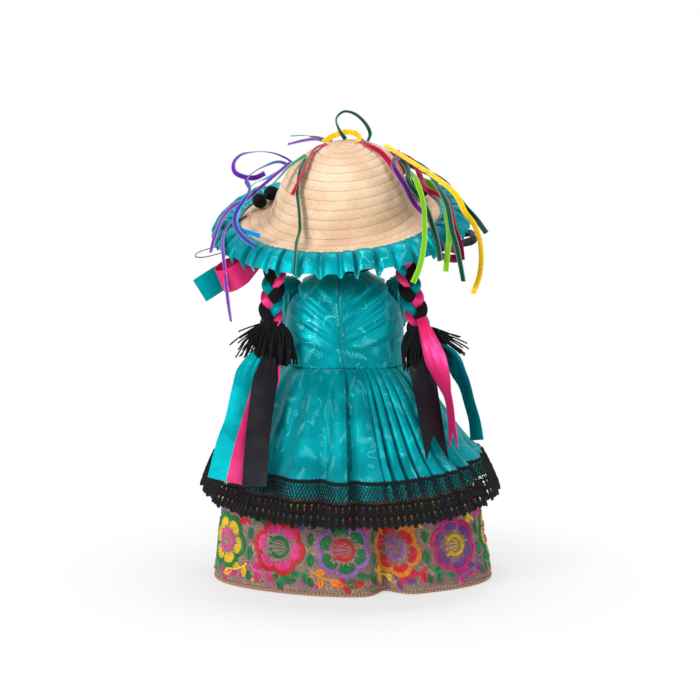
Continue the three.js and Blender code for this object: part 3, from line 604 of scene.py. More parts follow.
class Threads:
    """Collects many tubes or stitches into one mesh."""

    def __init__(self):
        self.points = []
        self.faces = []
        self.uvs = []
        self.dyes = []

    def section(self, frame_rows, outline, dye=None):
        """Sweeps an outline of (across, up) points, given for each row, along the frames."""
        first = len(self.points)
        sides = len(outline(0.0))
        ends = len(frame_rows) - 1
        runs = [run / 10 for run in runs_along([row[0] for row in frame_rows])]
        for i, (p, _, side, up) in enumerate(frame_rows):
            self.points += [p + side * u + up * v for u, v in outline(i / ends)]
        for i in range(ends):
            for j in range(sides):
                k = (j + 1) % sides
                a, b = first + i * sides, first + (i + 1) * sides
                self.faces.append((a + j, a + k, b + k, b + j))
                left, right = j / sides, (j + 1) / sides
                self.uvs += [(left, runs[i]), (right, runs[i]), (right, runs[i + 1]), (left, runs[i + 1])]
        last = first + ends * sides
        self.faces.append(tuple(first + j for j in reversed(range(sides))))
        self.faces.append(tuple(last + j for j in range(sides)))
        self.uvs += [(0.5, runs[0])] * sides + [(0.5, runs[-1])] * sides
        if dye:
            self.dyes += [dye] * (len(self.points) - first)

    def tube(self, points, radius, sides=5, normal=(0, 0, 1), dye=None):
        ring = [(radius * c, radius * s) for c, s in circle(sides)]
        self.section(frames(points, normal), lambda t: ring, dye)

    def stitch(self, start, end, up, wide, tall, dye=None):
        """One satin stitch: a low closed ridge with pointed ends."""
        start, end, up = Vector(start), Vector(end), Vector(up).normalized()
        along = end - start
        side = along.cross(up).normalized() * (wide / 2)
        first = len(self.points)
        near, far = start + along * 0.18, start + along * 0.82
        top = up * tall
        self.points += [start, near - side, near + top, near + side, far - side, far + top, far + side, end]
        faces = [
            (0, 1, 2), (0, 2, 3), (1, 4, 5, 2), (2, 5, 6, 3), (7, 5, 4), (7, 6, 5), (0, 3, 1), (1, 3, 6, 4),
            (7, 4, 6),
        ]
        for face in faces:
            self.faces.append(tuple(first + k for k in face))
            self.uvs += [(0.5, 0.5)] * len(face)
        if dye:
            self.dyes += [dye] * (len(self.points) - first)

    def make(self, name, angle=60.0):
        obj = mesh_object(name, self.points, self.faces, self.uvs)
        if self.dyes:
            layer = obj.data.color_attributes.new(name="thread", type="FLOAT_COLOR", domain="POINT")
            layer.data.foreach_set("color", [value for dye in self.dyes for value in dye])
        shade(obj, angle)
        return obj


def stuffed(name, rows, sides):
    """A closed stuffed form: one ring extruded, scaled and moved along rows of [z, wide, deep, x, y]."""
    z, wide, deep, x, y = rows[0]
    bpy.ops.object.select_all(action="DESELECT")
    place = (x * MM, y * MM, z * MM)
    bpy.ops.mesh.primitive_circle_add(vertices=sides, radius=MM, fill_type="NGON", location=place)
    obj = bpy.context.object
    obj.name = name
    bpy.ops.object.mode_set(mode="EDIT")
    bpy.ops.mesh.select_all(action="SELECT")
    bpy.ops.transform.resize(value=(wide, deep, 1))
    for before, row in zip(rows, rows[1:]):
        move = [(row[k] - before[k]) * MM for k in (3, 4, 0)]
        bpy.ops.mesh.extrude_region_move(TRANSFORM_OT_translate={"value": move})
        bpy.ops.transform.resize(value=(row[1] / before[1], row[2] / before[2], 1))
    bpy.ops.mesh.select_all(action="SELECT")
    bpy.ops.mesh.normals_make_consistent(inside=False)
    bpy.ops.object.mode_set(mode="OBJECT")
    bpy.ops.object.transform_apply(location=True, rotation=True, scale=True)
    apply(obj, "SUBSURF", levels=2, render_levels=2)
    bpy.ops.object.shade_smooth_by_angle(angle=math.radians(60))
    return obj


# Sizes that the pieces share
HEAD_UP = 250
HEAD_HALF = Vector((40, 38, 38))
NECK_UP = 220
CHEEK_OUT = 19
CHEEK_DROP = -8
SHOULDER_UP = 203
SHOULDER_OUT = 37.4
WAIST_UP = 152
HIP_UP = 101.5
HIP_OUT = 17
CROWN_INNER = 47.8
CROWN_TALL = 50
CROWN_SQUARENESS = 0.8
CROWN_LEAN = 0.17
CROWN_FOOT = 8
CROWN_ENDS = 0.97
DENT_AT = 247
STRAW = 2
BRIM = 76
COURSE = 6.3
HAT = (
    Matrix.Translation((lean(HEAD_UP), 0, HEAD_UP))
    @ Matrix.Rotation(math.radians(16.5), 4, "X")
    @ Matrix.Rotation(math.radians(-3.5), 4, "Y")
    @ Matrix.Translation((0, 0, 4))
)
SIDES = ((-1, "left"), (1, "right"))
PLEATS = 46
NARROW = 3.8
NARROW_THICK = 0.3
LAID = 0.55
WIDE = 17
SATIN_THICK = 0.45
SLEEVE_DOWN = 33
ARM_MIDDLE = lean(SHOULDER_UP - SLEEVE_DOWN / 4)
ARM_REST = 45
ARM_SLOPE = 0.707
PLAIT_TURN = 28
PLAIT_STEPS = 26
PLAIT_WIDE = 4.6
PLAIT_DEEP = 2.3
CAP_OUTER = 43.4
CAP_INNER = 40.8
HAIR_OUT = 44.2
HEM_UP = 88
LACE_DEEP = 22
EDGE_UP = 3.3
PETTICOAT_UP = 146
FLOWERS = 11
FLOWER_UP = 31.5
FLOWER_SIZE = 20


def evenly(points, count):
    """Points at equal steps along a line."""
    runs = runs_along(points)
    out = []
    i = 1
    for k in range(count + 1):
        want = runs[-1] * k / count
        while i < len(runs) - 1 and runs[i] < want:
            i += 1
        share = (want - runs[i - 1]) / max(1e-9, runs[i] - runs[i - 1])
        out.append(points[i - 1].lerp(points[i], share))
    return out


# Hat


def crown(share, skin):
    a = share * math.pi / 2
    radius = (CROWN_INNER + skin) * math.sin(a) ** CROWN_SQUARENESS
    height = (CROWN_TALL + skin) * max(0.0, math.cos(a)) ** CROWN_SQUARENESS
    return Vector((radius, height, 0))


# Down the hat from its top, [run, radius, height]: its skin beyond the crown, and the dome over it
OVER_EDGE = [
    [1, 51.8, 2], [1.3, 66.5, 1.5], [1.5, 73, 3.4], [1.7, 79, 4], [1.9, 85.5, 1],
    [2, 90, -4], [2.2, 95, -14], [2.4, 97, -30], [3, 98, -78],
]
DOME = [
    [0, 0, 72], [0.3, 32, 65], [0.6, 54, 51], [0.85, 68, 38], [1, 75, 31], [1.3, 84, 22], [1.5, 90, 15],
    [1.7, 95, 8], [1.9, 99, 0], [2, 102, -7], [2.2, 105, -19], [2.4, 107, -35], [3, 108, -83],
]


def on_hat(degrees, radius, height):
    """A point of the hat, whose crown leans to the doll's right as it rises."""
    a = math.radians(degrees)
    crown_lean = CROWN_LEAN * max(0, height - CROWN_FOOT)
    return HAT @ oval(a, radius, radius, height, crown_lean)


def hat_skin(run):
    if run < CROWN_ENDS:
        return crown(max(run, 0.001), STRAW)
    return Vector((*between(OVER_EDGE, run), 0))


def squarely(along):
    """The way off a profile, from the way along it."""
    return Vector((-along.y, along.x, 0))


def over_hat(degrees, run, lift):
    """A point laid over the hat: round it, down it from the top, and squarely off it."""
    along = (hat_skin(run + 0.06) - hat_skin(max(0, run - 0.06))).normalized()
    here = hat_skin(run) + squarely(along) * lift
    return on_hat(degrees, here.x, here.y)


def over_skin(degrees, run, rise):
    """A point between the hat's skin and the dome that the ribbons spring up to."""
    here = hat_skin(run).lerp(Vector((*between(DOME, run), 0)), rise)
    return on_hat(degrees, here.x, here.y)


def make_straw_hat():
    """Courses of palm braid, each sewn a little over the next, round the crown and out the brim."""
    knots = [
        (0.2, 52), (8, 51.6), (17, 49.9), (25, 46.6), (31.5, 42), (36.5, 36.6), (40.5, 30), (43.8, 22),
        (46.2, 13), (48.2, 6.4), (51, 3), (55.5, 1.6), (61, 1.1), (68, 1.1), (BRIM, 1),
    ]
    shape = smooth_line([(r, h, 0) for r, h in knots], 6)
    run = line_length(shape)
    courses = round(run / COURSE)
    per = 6
    outer = evenly(shape, courses * per)
    columns = 144
    rows = []
    for i, p in enumerate(outer):
        lap = 0.55 * math.sin(math.pi * (i % per) / per) ** 0.7 if i % per else 0
        rows.append((p, squarely(way_at(outer, i)), lap))
    under = [(p - out * 1.5, out, 0) for p, out, _ in rows[::-3]]
    rings = []
    for p, out, lap in rows + under:
        ring = []
        side = min(1, max(0, (48 - p.y) / 12)) * min(1, max(0, (p.y - 1) / 8))
        for a in angles(columns):
            off = (math.degrees(a) - DENT_AT + 180) % 360 - 180
            dent = -1.1 * side * math.exp(-(off / 5) ** 2)
            wobble = 0.25 * math.sin(3 * a + p.x * 0.15) * (1 if p.x > 20 else 0)
            here = p + out * (lap + dent + wobble)
            ring.append(on_hat(math.degrees(a), here.x, here.y))
        rings.append(ring)
    radii = [outer[min(len(outer) - 1, c * per + per // 2)].x for c in range(courses + 1)]

    def uv(i, j):
        v = i / per if i < len(rows) else courses - (i - len(rows)) / 2
        return (TAU * j / columns * radii[min(courses, int(v))] / 10, v)

    hat = cloth_grid("straw_hat", rings, uv)
    close_ends(hat)
    dress(hat, palm_straw(), "straw", "head", "straw_hat")


def close_ends(obj):
    """Closes the holes left at the ends of a grid of rings."""
    alone(obj)
    bpy.ops.object.mode_set(mode="EDIT")
    bpy.ops.mesh.select_all(action="DESELECT")
    bpy.ops.mesh.select_non_manifold(extend=False)
    bpy.ops.mesh.fill_holes(sides=0)
    bpy.ops.object.mode_set(mode="OBJECT")
    recalculate(obj)


# One fold of the ruffle: (share of its width, height)
PLEAT = [
    (0, 0.75), (0.12, 1), (0.3, 1.05), (0.5, 0.95), (0.63, 0.8), (0.7, -0.5), (0.77, -1), (0.86, -0.9),
    (0.95, 0.1),
]


def ruffle_columns(count, seed):
    """Pleats of uneven width, each folded over the next: rows of [turn, height of the fold]."""
    chance = random.Random(seed)
    widths = [0.6 + 0.8 * chance.random() for _ in range(count)]
    total = sum(widths)
    columns = []
    so_far = 0.0
    for width in widths:
        deep = 0.55 + 0.75 * chance.random()
        leaning = chance.uniform(-0.05, 0.05)
        for t, height in PLEAT:
            turn = (so_far + width * (t + leaning * math.sin(TAU * t))) / total
            columns.append((turn, deep * height))
        so_far += width
    return columns


def make_ruffle(satin_teal, thread):
    """Satin pleated round the brim, and the running stitch that holds it."""
    rows = [
        [69.5, 2.0, 0], [70.4, 2.1, 0.06], [71.6, 2.4, 0.2], [73.5, 3.0, 0.42], [76.5, 3.5, 0.66],
        [79.5, 3.1, 0.85], [82.5, 1.5, 0.95], [85.4, -1.2, 1.0], [87.8, -4.2, 1.08], [89.6, -7.4, 1.15],
    ]
    columns = ruffle_columns(PLEATS, 4)
    rings = []
    for radius, height, share in rows:
        ring = []
        for turn, fold in columns:
            a = TAU * turn
            reach = radius + 0.55 * share * fold
            ring.append(HAT @ oval(a, reach, reach, height + 2.5 * share * fold))
        rings.append(ring)
    runs = edge_runs(rings[-1])
    ruffle = cloth_grid("hat_ruffle", rings, lambda i, j: (runs[j], i * 0.28), SATIN_THICK, 60)
    dress(ruffle, satin_teal, "satin_teal", "head", "hat_ruffle")
    stitches = Threads()
    up = HAT.to_3x3() @ Vector((0, 0, 1))
    for k in range(2 * PLEATS):
        turns = [TAU * (k + part) / (2 * PLEATS) for part in (0.12, 0.7)]
        ends = [HAT @ oval(a, 70.9, 70.9, 2.55) for a in turns]
        stitches.stitch(*ends, up, 0.5, 0.4)
    dress(stitches.make("ruffle_stitching"), thread, "satin_teal", "head")


def make_garland(yarn):
    """Wool bobbles wound from one length of yarn and strung round the front of the crown."""
    threads = Threads()
    chance = random.Random(7)
    count = 10
    first, last = 166, 15
    middles = [over_hat(first + (last - first) * (k + 0.5) / count, 1.18, 5.3) for k in range(count)]
    threads.tube(smooth_line(middles, 6), 1.6, 6)
    turn = hoop(14)
    for middle in middles:
        for _ in range(20):
            pole = Vector([chance.gauss(0, 1) for _ in range(3)]).normalized()
            one = pole.orthogonal().normalized()
            two = pole.cross(one)
            size = 4.0 + 0.5 * chance.random()
            threads.tube([middle + (one * c + two * s) * size for c, s in turn], 0.95, 5, pole)
    dress(threads.make("yarn_garland"), yarn, "yarn_black", "head", "yarn_garland")


def make_rosette(satin_dotted):
    """Satin gathered into three frills on the front of the crown."""
    at = (38, 0.73)
    foot = over_hat(*at, 0.3)
    up = (over_hat(*at, 5) - foot).normalized()
    seat = Matrix.Translation(foot) @ up.to_track_quat("Z", "Y").to_matrix().to_4x4()
    rings = []
    frills = [
        (2.2, 0.4, 0), (6, 1.4, 0.5), (9.8, 3.2, 1), (6.5, 3.0, 0.5), (2.2, 2.6, 0), (5, 4.2, 0.6),
        (7.6, 6.2, 1), (4.6, 5.4, 0.5), (1.6, 4.8, 0), (3, 6.2, 0.5), (4.2, 7.6, 0.8),
    ]
    columns = 132
    for radius, height, frill in frills:
        ring = []
        for a in angles(columns):
            wave = frill * math.sin(11 * a + height)
            reach = radius + wave * 0.5
            ring.append(seat @ oval(a, reach, reach, height + wave))
        rings.append(ring)
    rosette = cloth_grid("satin_rosette", rings, lambda i, j: (j * 0.16, i * 0.45), 0.4, 60)
    dress(rosette, satin_dotted, "satin_pink", "head", "satin_rosette")


# Ribbons


def row_at(rows, t):
    """The frame at share t of the way along."""
    spot = min(max(t, 0.0), 1.0) * (len(rows) - 1)
    i = min(int(spot), len(rows) - 2)
    f = spot - i
    low, high = rows[i], rows[i + 1]
    return [a.lerp(b, f) for a, b in zip(low, high)]


def strip(name, rows, half, rise, thick, steps, columns, uv_across, notch=0.0):
    """A ribbon along the frames, of half width half(t), lifted by rise(t, u) across it."""
    points = []
    length = line_length([row[0] for row in rows])
    along = []
    for i in range(steps + 1):
        for c in range(columns + 1):
            u = 2 * c / columns - 1
            t = i / steps * (1 - notch * (1 - abs(u)))
            p, _, side, up = row_at(rows, t)
            points.append(p + side * (u * half(t)) + up * rise(t, u))
            along.append(t * length / 10)
    faces = []
    uvs = []
    wide = columns + 1
    for i in range(steps):
        for c in range(columns):
            corner = (i * wide + c, i * wide + c + 1, (i + 1) * wide + c + 1, (i + 1) * wide + c)
            faces.append(corner)
            uvs += [((k % wide) / columns * uv_across, along[k]) for k in corner]
    obj = mesh_object(name, points, faces, uvs)
    thicken(obj, thick)
    shade(obj, 50)
    return obj


# Each narrow ribbon's colour and route. The first stop is (degrees round the hat, run down it, lift),
# the others are (degrees, run, rise from the skin to the dome).
RIBBONS = {
    "ribbon_green_loop": ("green", [
        (93, 0.13, LAID), (108, 0.16, 0.37), (115, 0.19, 0.86), (102, 0.19, 1.1), (79, 0.17, 1.01),
        (48, 0.17, 0.65), (32, 0.18, 0.31), (29, 0.16, 0.04)]),
    "ribbon_purple_loop": ("purple", [
        (151, 0.58, LAID), (152, 0.63, 0.36), (155, 0.7, 0.78), (161, 0.8, 1.15), (165, 0.89, 1.28),
        (168, 0.98, 1.21), (171, 1, 1.07), (171, 0.95, 0.85), (168, 0.89, 0.64), (164, 0.81, 0.49)]),
    "ribbon_purple_tail": ("purple", [
        (166, 0.52, LAID), (171, 0.85, 0.35), (173, 1.12, 0.45), (177, 1.27, 0.48), (185, 1.48, 0.46),
        (194, 1.72, 0.42), (199, 1.93, 0.4), (201, 2.04, 0.4)]),
    "ribbon_purple_far": ("purple", [
        (172, 1.3, LAID), (192, 1.61, 0.15), (205, 1.88, 0.25), (216, 2.09, 0.45), (221, 2.37, 0.6),
        (222, 2.54, 0.6)]),
    "ribbon_purple_short": ("purple", [
        (108, 0.36, LAID), (128, 0.32, 0.16), (145, 0.31, 0.3), (155, 0.35, 0.42), (161, 0.49, 0.66)]),
    "ribbon_green_short": ("green", [
        (104, 0.45, LAID), (122, 0.42, 0.3), (138, 0.4, 0.5), (146, 0.4, 0.62), (151, 0.49, 0.86)]),
    "ribbon_green_metal": ("metal", [
        (186, 0.31, LAID), (199, 0.48, 0.27), (208, 0.72, 0.57)]),
    "ribbon_crimson_left": ("crimson", [
        (152, 0.15, LAID), (182, 0.22, 0.12), (215, 0.39, 0.16), (224, 0.58, 0.2), (225, 0.71, 0.22)]),
    "ribbon_thin_green": ("green", [
        (196, 0.33, LAID), (213, 0.46, 0.1), (227, 0.66, 0.13), (236, 0.83, 0.16), (240, 0.96, 0.2),
        (245, 1.23, 0.26), (250, 1.77, 0.32), (251, 1.99, 0.4)]),
    "ribbon_yellow_top": ("yellow", [
        (135, 0.24, LAID), (112, 0.24, 0.2), (85, 0.18, 0.28), (45, 0.1, 0.2), (10, 0.06, 0.1)]),
    "ribbon_crimson_right": ("crimson", [
        (58, 0.17, LAID), (349, 0.13, 0.1), (332, 0.29, 0.12), (327, 0.48, 0.14), (329, 0.66, 0.15)]),
    "ribbon_violet_right": ("violet", [
        (5, 0.48, LAID), (325, 0.5, 0.24), (327, 0.74, 0.26), (337, 0.95, 0.26), (332, 1.19, 0.3),
        (323, 1.57, 0.28), (317, 1.99, 0.32)]),
    "ribbon_forest_right": ("green", [
        (13, 0.52, LAID), (352, 0.62, 0.1), (330, 0.74, 0.34), (337, 0.97, 0.46), (323, 1.35, 0.48),
        (316, 1.82, 0.5), (313, 2.05, 0.48)]),
    "ribbon_lime_inner": ("lime", [
        (7, 0.68, LAID), (331, 0.78, 0.55), (328, 0.97, 0.62), (315, 1.37, 0.62), (308, 1.78, 0.6),
        (302, 2.03, 0.6), (298, 2.17, 0.6)]),
    "ribbon_lime_outer": ("lime", [
        (18, 0.78, LAID - 0.2), (353, 0.9, 0.5), (348, 1.19, 0.55), (332, 1.51, 0.52), (325, 1.8, 0.5),
        (318, 2, 0.5), (314, 2.18, 0.52)]),
    "ribbon_crimson_far": ("crimson", [
        (20, 0.5, LAID - 0.2), (8, 0.66, 0.28), (340, 0.91, 0.56), (341, 1.16, 0.7), (334, 1.46, 0.7),
        (328, 1.74, 0.68), (326, 1.97, 0.66), (324, 2.13, 0.66)]),
    "ribbon_forest_far": ("green", [
        (27, 0.56, LAID), (12, 0.8, 0.46), (339, 0.97, 0.82), (331, 1.3, 0.86), (324, 1.71, 0.86),
        (322, 1.96, 0.84), (321, 2.16, 0.82), (321, 2.3, 0.82)]),
    "ribbon_yellow_long": ("yellow", [
        (27, 0.36, LAID), (346, 0.93, 0.8), (339, 1.27, 0.98), (337, 1.6, 0.98), (339, 1.8, 0.96),
        (338, 1.99, 0.95), (335, 2.18, 0.95), (331, 2.32, 0.95), (325, 2.43, 0.95)]),
    "ribbon_forest_edge": ("green", [
        (66, 0.62, LAID), (52, 1.02, 0.62), (24, 1.29, 0.55), (357, 1.34, 0.62), (350, 1.69, 0.6),
        (350, 1.9, 0.6), (356, 2.17, 0.6)]),
    "ribbon_blue": ("blue", [
        (144, 0.62, LAID - 0.2), (148, 0.94, 0.5), (162, 0.97, 0.62), (187, 1.01, 0.66), (198, 1.19, 0.62),
        (204, 1.33, 0.58), (213, 1.41, 0.56), (220, 1.38, 0.55), (227, 1.38, 0.55)]),
    "ribbon_navy": ("navy", [
        (132, 0.76, LAID), (143, 0.79, 0.5), (155, 0.85, 0.68), (180, 0.9, 0.84), (200, 0.92, 0.86),
        (206, 1.26, 0.84), (213, 1.42, 0.8), (223, 1.54, 0.78), (231, 1.62, 0.78)]),
}
# Radians that a ribbon's face is turned by, at its start and from its middle on
EDGE_ON = {
    "ribbon_green_loop": (0.3, 1.35), "ribbon_purple_loop": (1.35, 0.7), "ribbon_thin_green": (0.3, 1.1),
    "ribbon_purple_far": (0.5, 0.9),
}


def ribbon_finishes():
    return {
        "green": narrow_ribbon("ribbon_green", "0C3B2B", "5FA58A"),
        "metal": narrow_ribbon("ribbon_green_metal", "0E7A45", "A8E0B8", "0A4A2C"),
        "purple": narrow_ribbon("ribbon_purple", "5F1F96", "B58AE0"),
        "violet": narrow_ribbon("ribbon_violet", "52175F", "A46FBE"),
        "crimson": narrow_ribbon("ribbon_crimson", "9A1235", "D2466A"),
        "yellow": narrow_ribbon("ribbon_yellow", "F0C413", "F6DE55", "E08A1A"),
        "lime": narrow_ribbon("ribbon_lime", "6DB01C", "A9D85A"),
        "blue": narrow_ribbon("ribbon_blue", "0A84D0", "7CC8F2"),
        "navy": narrow_ribbon("ribbon_navy", "23308F", "7F93E0"),
    }


SLOT_OF = {"violet": "ribbon_purple", "navy": "ribbon_blue", "metal": "ribbon_green"}


def declare_cord(points):
    path = [p * MM for p in points]
    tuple(path[0])
    line_length(path)


def facing(points, seed, turns):
    """Frames for a springy ribbon, whose face turns outwards, then edge-on, with a slow twist."""
    middle = Vector((lean(HEAD_UP), 12, HEAD_UP))
    out = []
    up = None
    for i, p in enumerate(points):
        along = way_at(points, i)
        want = (p - middle).normalized() * 0.5 + Vector((0, -1, 0.25))
        want = (want - along * want.dot(along)).normalized()
        up = up * 0.7 + want * 0.3 if up else want
        up = (up - along * up.dot(along)).normalized()
        share = min(1, 2 * i / len(points))
        turn = turns[0] + (turns[1] - turns[0]) * share * share * (3 - 2 * share)
        turned = Quaternion(along, turn + 0.35 * math.sin(i * 0.08 + seed)) @ up
        out.append((p, along, along.cross(turned), turned))
    return out


def cupped(t, u):
    """The slight hollow across a woven ribbon."""
    return -0.25 * u * u


def make_narrow_ribbons():
    finishes = ribbon_finishes()
    for seed, (name, (colour, route)) in enumerate(RIBBONS.items()):
        points = smooth_line([over_hat(*route[0])] + [over_skin(*stop) for stop in route[1:]], 8)
        rows = facing(points, seed, EDGE_ON.get(name, (0.2, 0.6)))
        steps = len(points) - 1
        ribbon = strip(name, rows, lambda t: NARROW / 2, cupped, NARROW_THICK, steps, 4, 1.0)
        dress(ribbon, finishes[colour], SLOT_OF.get(colour, "ribbon_" + colour), "head", name)
        declare_cord(points)


# Each tail's colour, notch, first turn and twist in degrees, and the way it hangs
TAILS = {
    "tail_left_teal": ("teal", 0.0, 0, 10, [
        (-52, -33, 172), (-59, -34, 163), (-66, -37, 151), (-69.5, -43, 138), (-74.2, -50, 118),
        (-79.4, -56, 105), (-85.8, -62, 80.5)]),
    "tail_left_pink": ("pink", 0.0, 0, -12, [
        (-49, -34, 170), (-50, -35.5, 160), (-54, -39, 146), (-60, -49, 126), (-67, -63, 102),
        (-72, -74, 80)]),
    "tail_left_black": ("black", 0.0, 0, 8, [
        (-50, -36, 168), (-52, -39, 158), (-55, -47, 144), (-58, -60, 122), (-60, -73, 100),
        (-61, -84, 80)]),
    "tail_right_pink": ("pink", 0.12, 10, 62, [
        (51, -39, 188), (55, -43, 177), (60, -48, 163), (66, -53, 147), (70, -57, 132), (71.5, -60, 118),
        (73, -62, 102)]),
    "tail_right_black": ("black", 0.16, 0, -20, [
        (50, -35, 170), (50.5, -37, 160), (53.5, -43, 144), (57.5, -54, 120), (62, -65, 94)]),
    "tail_right_teal": ("teal", 0.0, 50, 12, [
        (54, -33, 172), (64, -34, 167), (71.5, -35, 161), (77, -37, 150), (81, -38, 142), (84.4, -40, 130),
        (88, -42, 117), (89.6, -44, 104.5)]),
}
# Each loop's colour, knot, tip, way across, width and fullness
BOWS = {
    "bow_left_pink": ("pink", (-46.4, -21, 237), (-84, -49, 214), (-0.36, -0.36, 0.86), WIDE, 9),
    "bow_left_teal": ("teal", (-48.3, -12, 237.5), (-99.5, -34, 206), (-0.55, 0, 0.83), WIDE, 4),
    "bow_left_black": ("black", (-49.9, -8, 241), (-104, -15, 228), (0, 1, 0), NARROW, 3),
    "bow_right_pink": ("pink", (40, -18.6, 238.2), (77, -34, 230), (0, 1, 0.2), WIDE, 4),
    "bow_right_black": ("black", (45.5, -8, 234), (89, -18, 242), (0, 1, 0.2), WIDE, 4),
}
BOW_STEPS = 56


def gathered(pinch, from_tie):
    return pinch + (1 - pinch) * min(1, 4 * from_tie)


def make_tails(satins):
    """The ribbon ends that hang from the tassels, tucked where they are tied."""
    for name, (colour, notch, turned, twist, route) in TAILS.items():
        points = smooth_line(route, 12)
        normal = (points[-1] - points[0]).cross(Vector((1, 0, 0)))
        rows = []
        for i, (p, along, _, up) in enumerate(frames(points, normal)):
            turn = turned + twist * min(1, 1.7 * i / len(points)) ** 1.5
            up = Quaternion(along, math.radians(turn)) @ up
            rows.append((p, along, along.cross(up), up))
        seed = len(name) * 1.7

        def half(t):
            return WIDE / 2 * (0.36 + 0.64 * min(1, 2.8 * t) ** 1.4)

        def rise(t, u, seed=seed):
            tucks = 0.9 * math.cos(3 * math.pi * u + seed) * max(0, 1 - 2.2 * t)
            cup = 1.3 * (1 - u * u) * math.sin(math.pi * min(1, t * 1.3))
            return tucks + cup + 0.8 * math.sin(6 * t + seed) * u

        tail = strip(name, rows, half, rise, SATIN_THICK, 48, 12, WIDE / 10, notch)
        body = "plait_left" if "left" in name else "plait_right"
        dress(tail, satins[colour], "satin_" + colour, body, name)
        length = line_length(points)
        "tassel_" + name.split("_")[1]


def bow_rows(knot, tip, across, fullness):
    """Frames round a loop of ribbon: out from its knot to the tip and back."""
    knot, tip = Vector(knot), Vector(tip)
    across = Vector(across).normalized()
    reach = tip - knot
    swell = reach.cross(across).normalized()
    points = []
    for i in range(BOW_STEPS + 1):
        t = i / BOW_STEPS
        opening = fullness * math.sin(TAU * t) * math.sin(math.pi * t) + 2 * (0.5 - t)
        points.append(knot + reach * math.sin(math.pi * t) + swell * opening)
    ways = [way_at(points, i) for i in range(len(points))]
    return [(p, along, across, along.cross(across).normalized()) for p, along in zip(points, ways)]


def make_bows(satins):
    for name, (colour, knot, tip, across, width, fullness) in BOWS.items():
        rows = bow_rows(knot, tip, across, fullness)
        length = line_length([row[0] for row in rows])
        wide = width > NARROW

        def half(t):
            return width / 2 * (gathered(0.35, min(t, 1 - t)) if wide else 1)

        def rise(t, u):
            if not wide:
                return -0.2 * u * u
            tie = max(0, 1 - 4 * min(t, 1 - t))
            return 0.8 * math.cos(3 * math.pi * u) * tie + 0.35 * math.sin(9 * t) * u

        thick, columns, uv_across = (SATIN_THICK, 12, width / 10) if wide else (NARROW_THICK, 4, 1.0)
        bow = strip(name, rows, half, rise, thick, BOW_STEPS, columns, uv_across)
        dress(bow, satins[colour], "satin_" + colour, "head", name)
        if wide:
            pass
        else:
            declare_cord([row[0] for row in rows])


# Plaits and tassels

# Each plait's side and the middle of its way down
PLAITS = {
    "left": (-1, [(-46.5, -26.2, 226.9), (-50, -28, 209), (-51, -30, 196), (-51, -32, 183)]),
    "right": (1, [(38.9, -26.2, 226.9), (44, -28, 209), (47, -30, 194), (50, -33, 180)]),
}


def make_plaits(yarn, satins):
    for name, (side, route) in PLAITS.items():
        axis = smooth_line(route, 24)
        turns = line_length(axis) / PLAIT_TURN
        steps = round(turns * PLAIT_STEPS)
        spine = evenly(axis, steps)
        for k, kind in enumerate(("yarn", "pink", "teal")):
            points = []
            for i, p in enumerate(spine):
                phase = TAU * (turns * i / steps + k / 3)
                across = side * PLAIT_WIDE * math.sin(phase)
                points.append(p + Vector((across, PLAIT_DEEP * math.sin(2 * phase), 0)))
            rows = frames(points, (0, -1, 0))
            threads = Threads()
            if kind == "yarn":
                lay_yarns(threads, rows)
                finish = yarn
            else:
                threads.section(rows, folded_ribbon)
                finish = satins[kind]
            strand = f"plait_{name}_{kind}"
            slot = "yarn_black" if kind == "yarn" else "satin_" + kind
            dress(threads.make(strand), finish, slot, "plait_" + name, strand)
        make_tassel(name, Vector(route[-1]), side, yarn)


def lay_yarns(threads, rows):
    """Yarns side by side and over each other, making one full strand of the plait."""
    for m in range(16):
        inner = m >= 11
        start = TAU * m / (5 if inner else 11)
        points = []
        for i, (p, _, side, up) in enumerate(rows):
            a = start + 0.05 * i
            wide, deep = (1.4, 0.8) if inner else (3.4, 2.0)
            points.append(p + side * wide * math.cos(a) + up * deep * math.sin(a))
        threads.tube(points, 0.95, 6, rows[0][3])


def folded_ribbon(t):
    """The section of a ribbon folded small where it passes through the plait."""
    out = []
    for a in angles(24):
        fold = 1 + 0.1 * math.cos(5 * a + 4 * t)
        out.append((3.3 * fold * math.cos(a), 1.5 * fold * math.sin(a)))
    return out


def make_tassel(name, foot, side, yarn):
    """A thick bundle of yarn ends, some of which stray out past the ribbons, bound at the top."""
    chance = random.Random(11 if side < 0 else 12)
    threads = Threads()
    far = 25 if side < 0 else 32
    for m in range(190):
        a = TAU * chance.random()
        r = math.sqrt(chance.random())
        across, deep = r * math.cos(a), r * math.sin(a)
        curl = chance.uniform(-2, 2)
        stray = m % 9 < (2 if side < 0 else 3)
        drop = chance.uniform(6, 26) if stray else 27 + chance.uniform(-5, 3)
        out = side * far * chance.uniform(0.35, 1) if stray else 2
        points = []
        for k in range(9):
            t = k / 8
            spread = 5 + 9 * math.sin(0.5 * math.pi * min(1, 1.3 * t))
            if stray:
                spread = 5 - 2 * t
            x = across * spread + out * t ** 0.9 + curl * math.sin(5 * t)
            y = deep * (3.6 + 3.6 * t) + curl * math.cos(4 * t)
            points.append(foot + Vector((x, y, 1 - drop * t ** 1.25)))
        threads.tube(points, 0.55 if stray else 0.85, 5, (0, -1, 0))
    binding = hoop(20)
    for k in range(4):
        threads.tube([foot + Vector((7 * c, 4.7 * s, 1.5 - 1.3 * k)) for c, s in binding], 0.9, 5)
    dress(threads.make("tassel_" + name), yarn, "yarn_black", "plait_" + name, "tassel_" + name)


# Dress

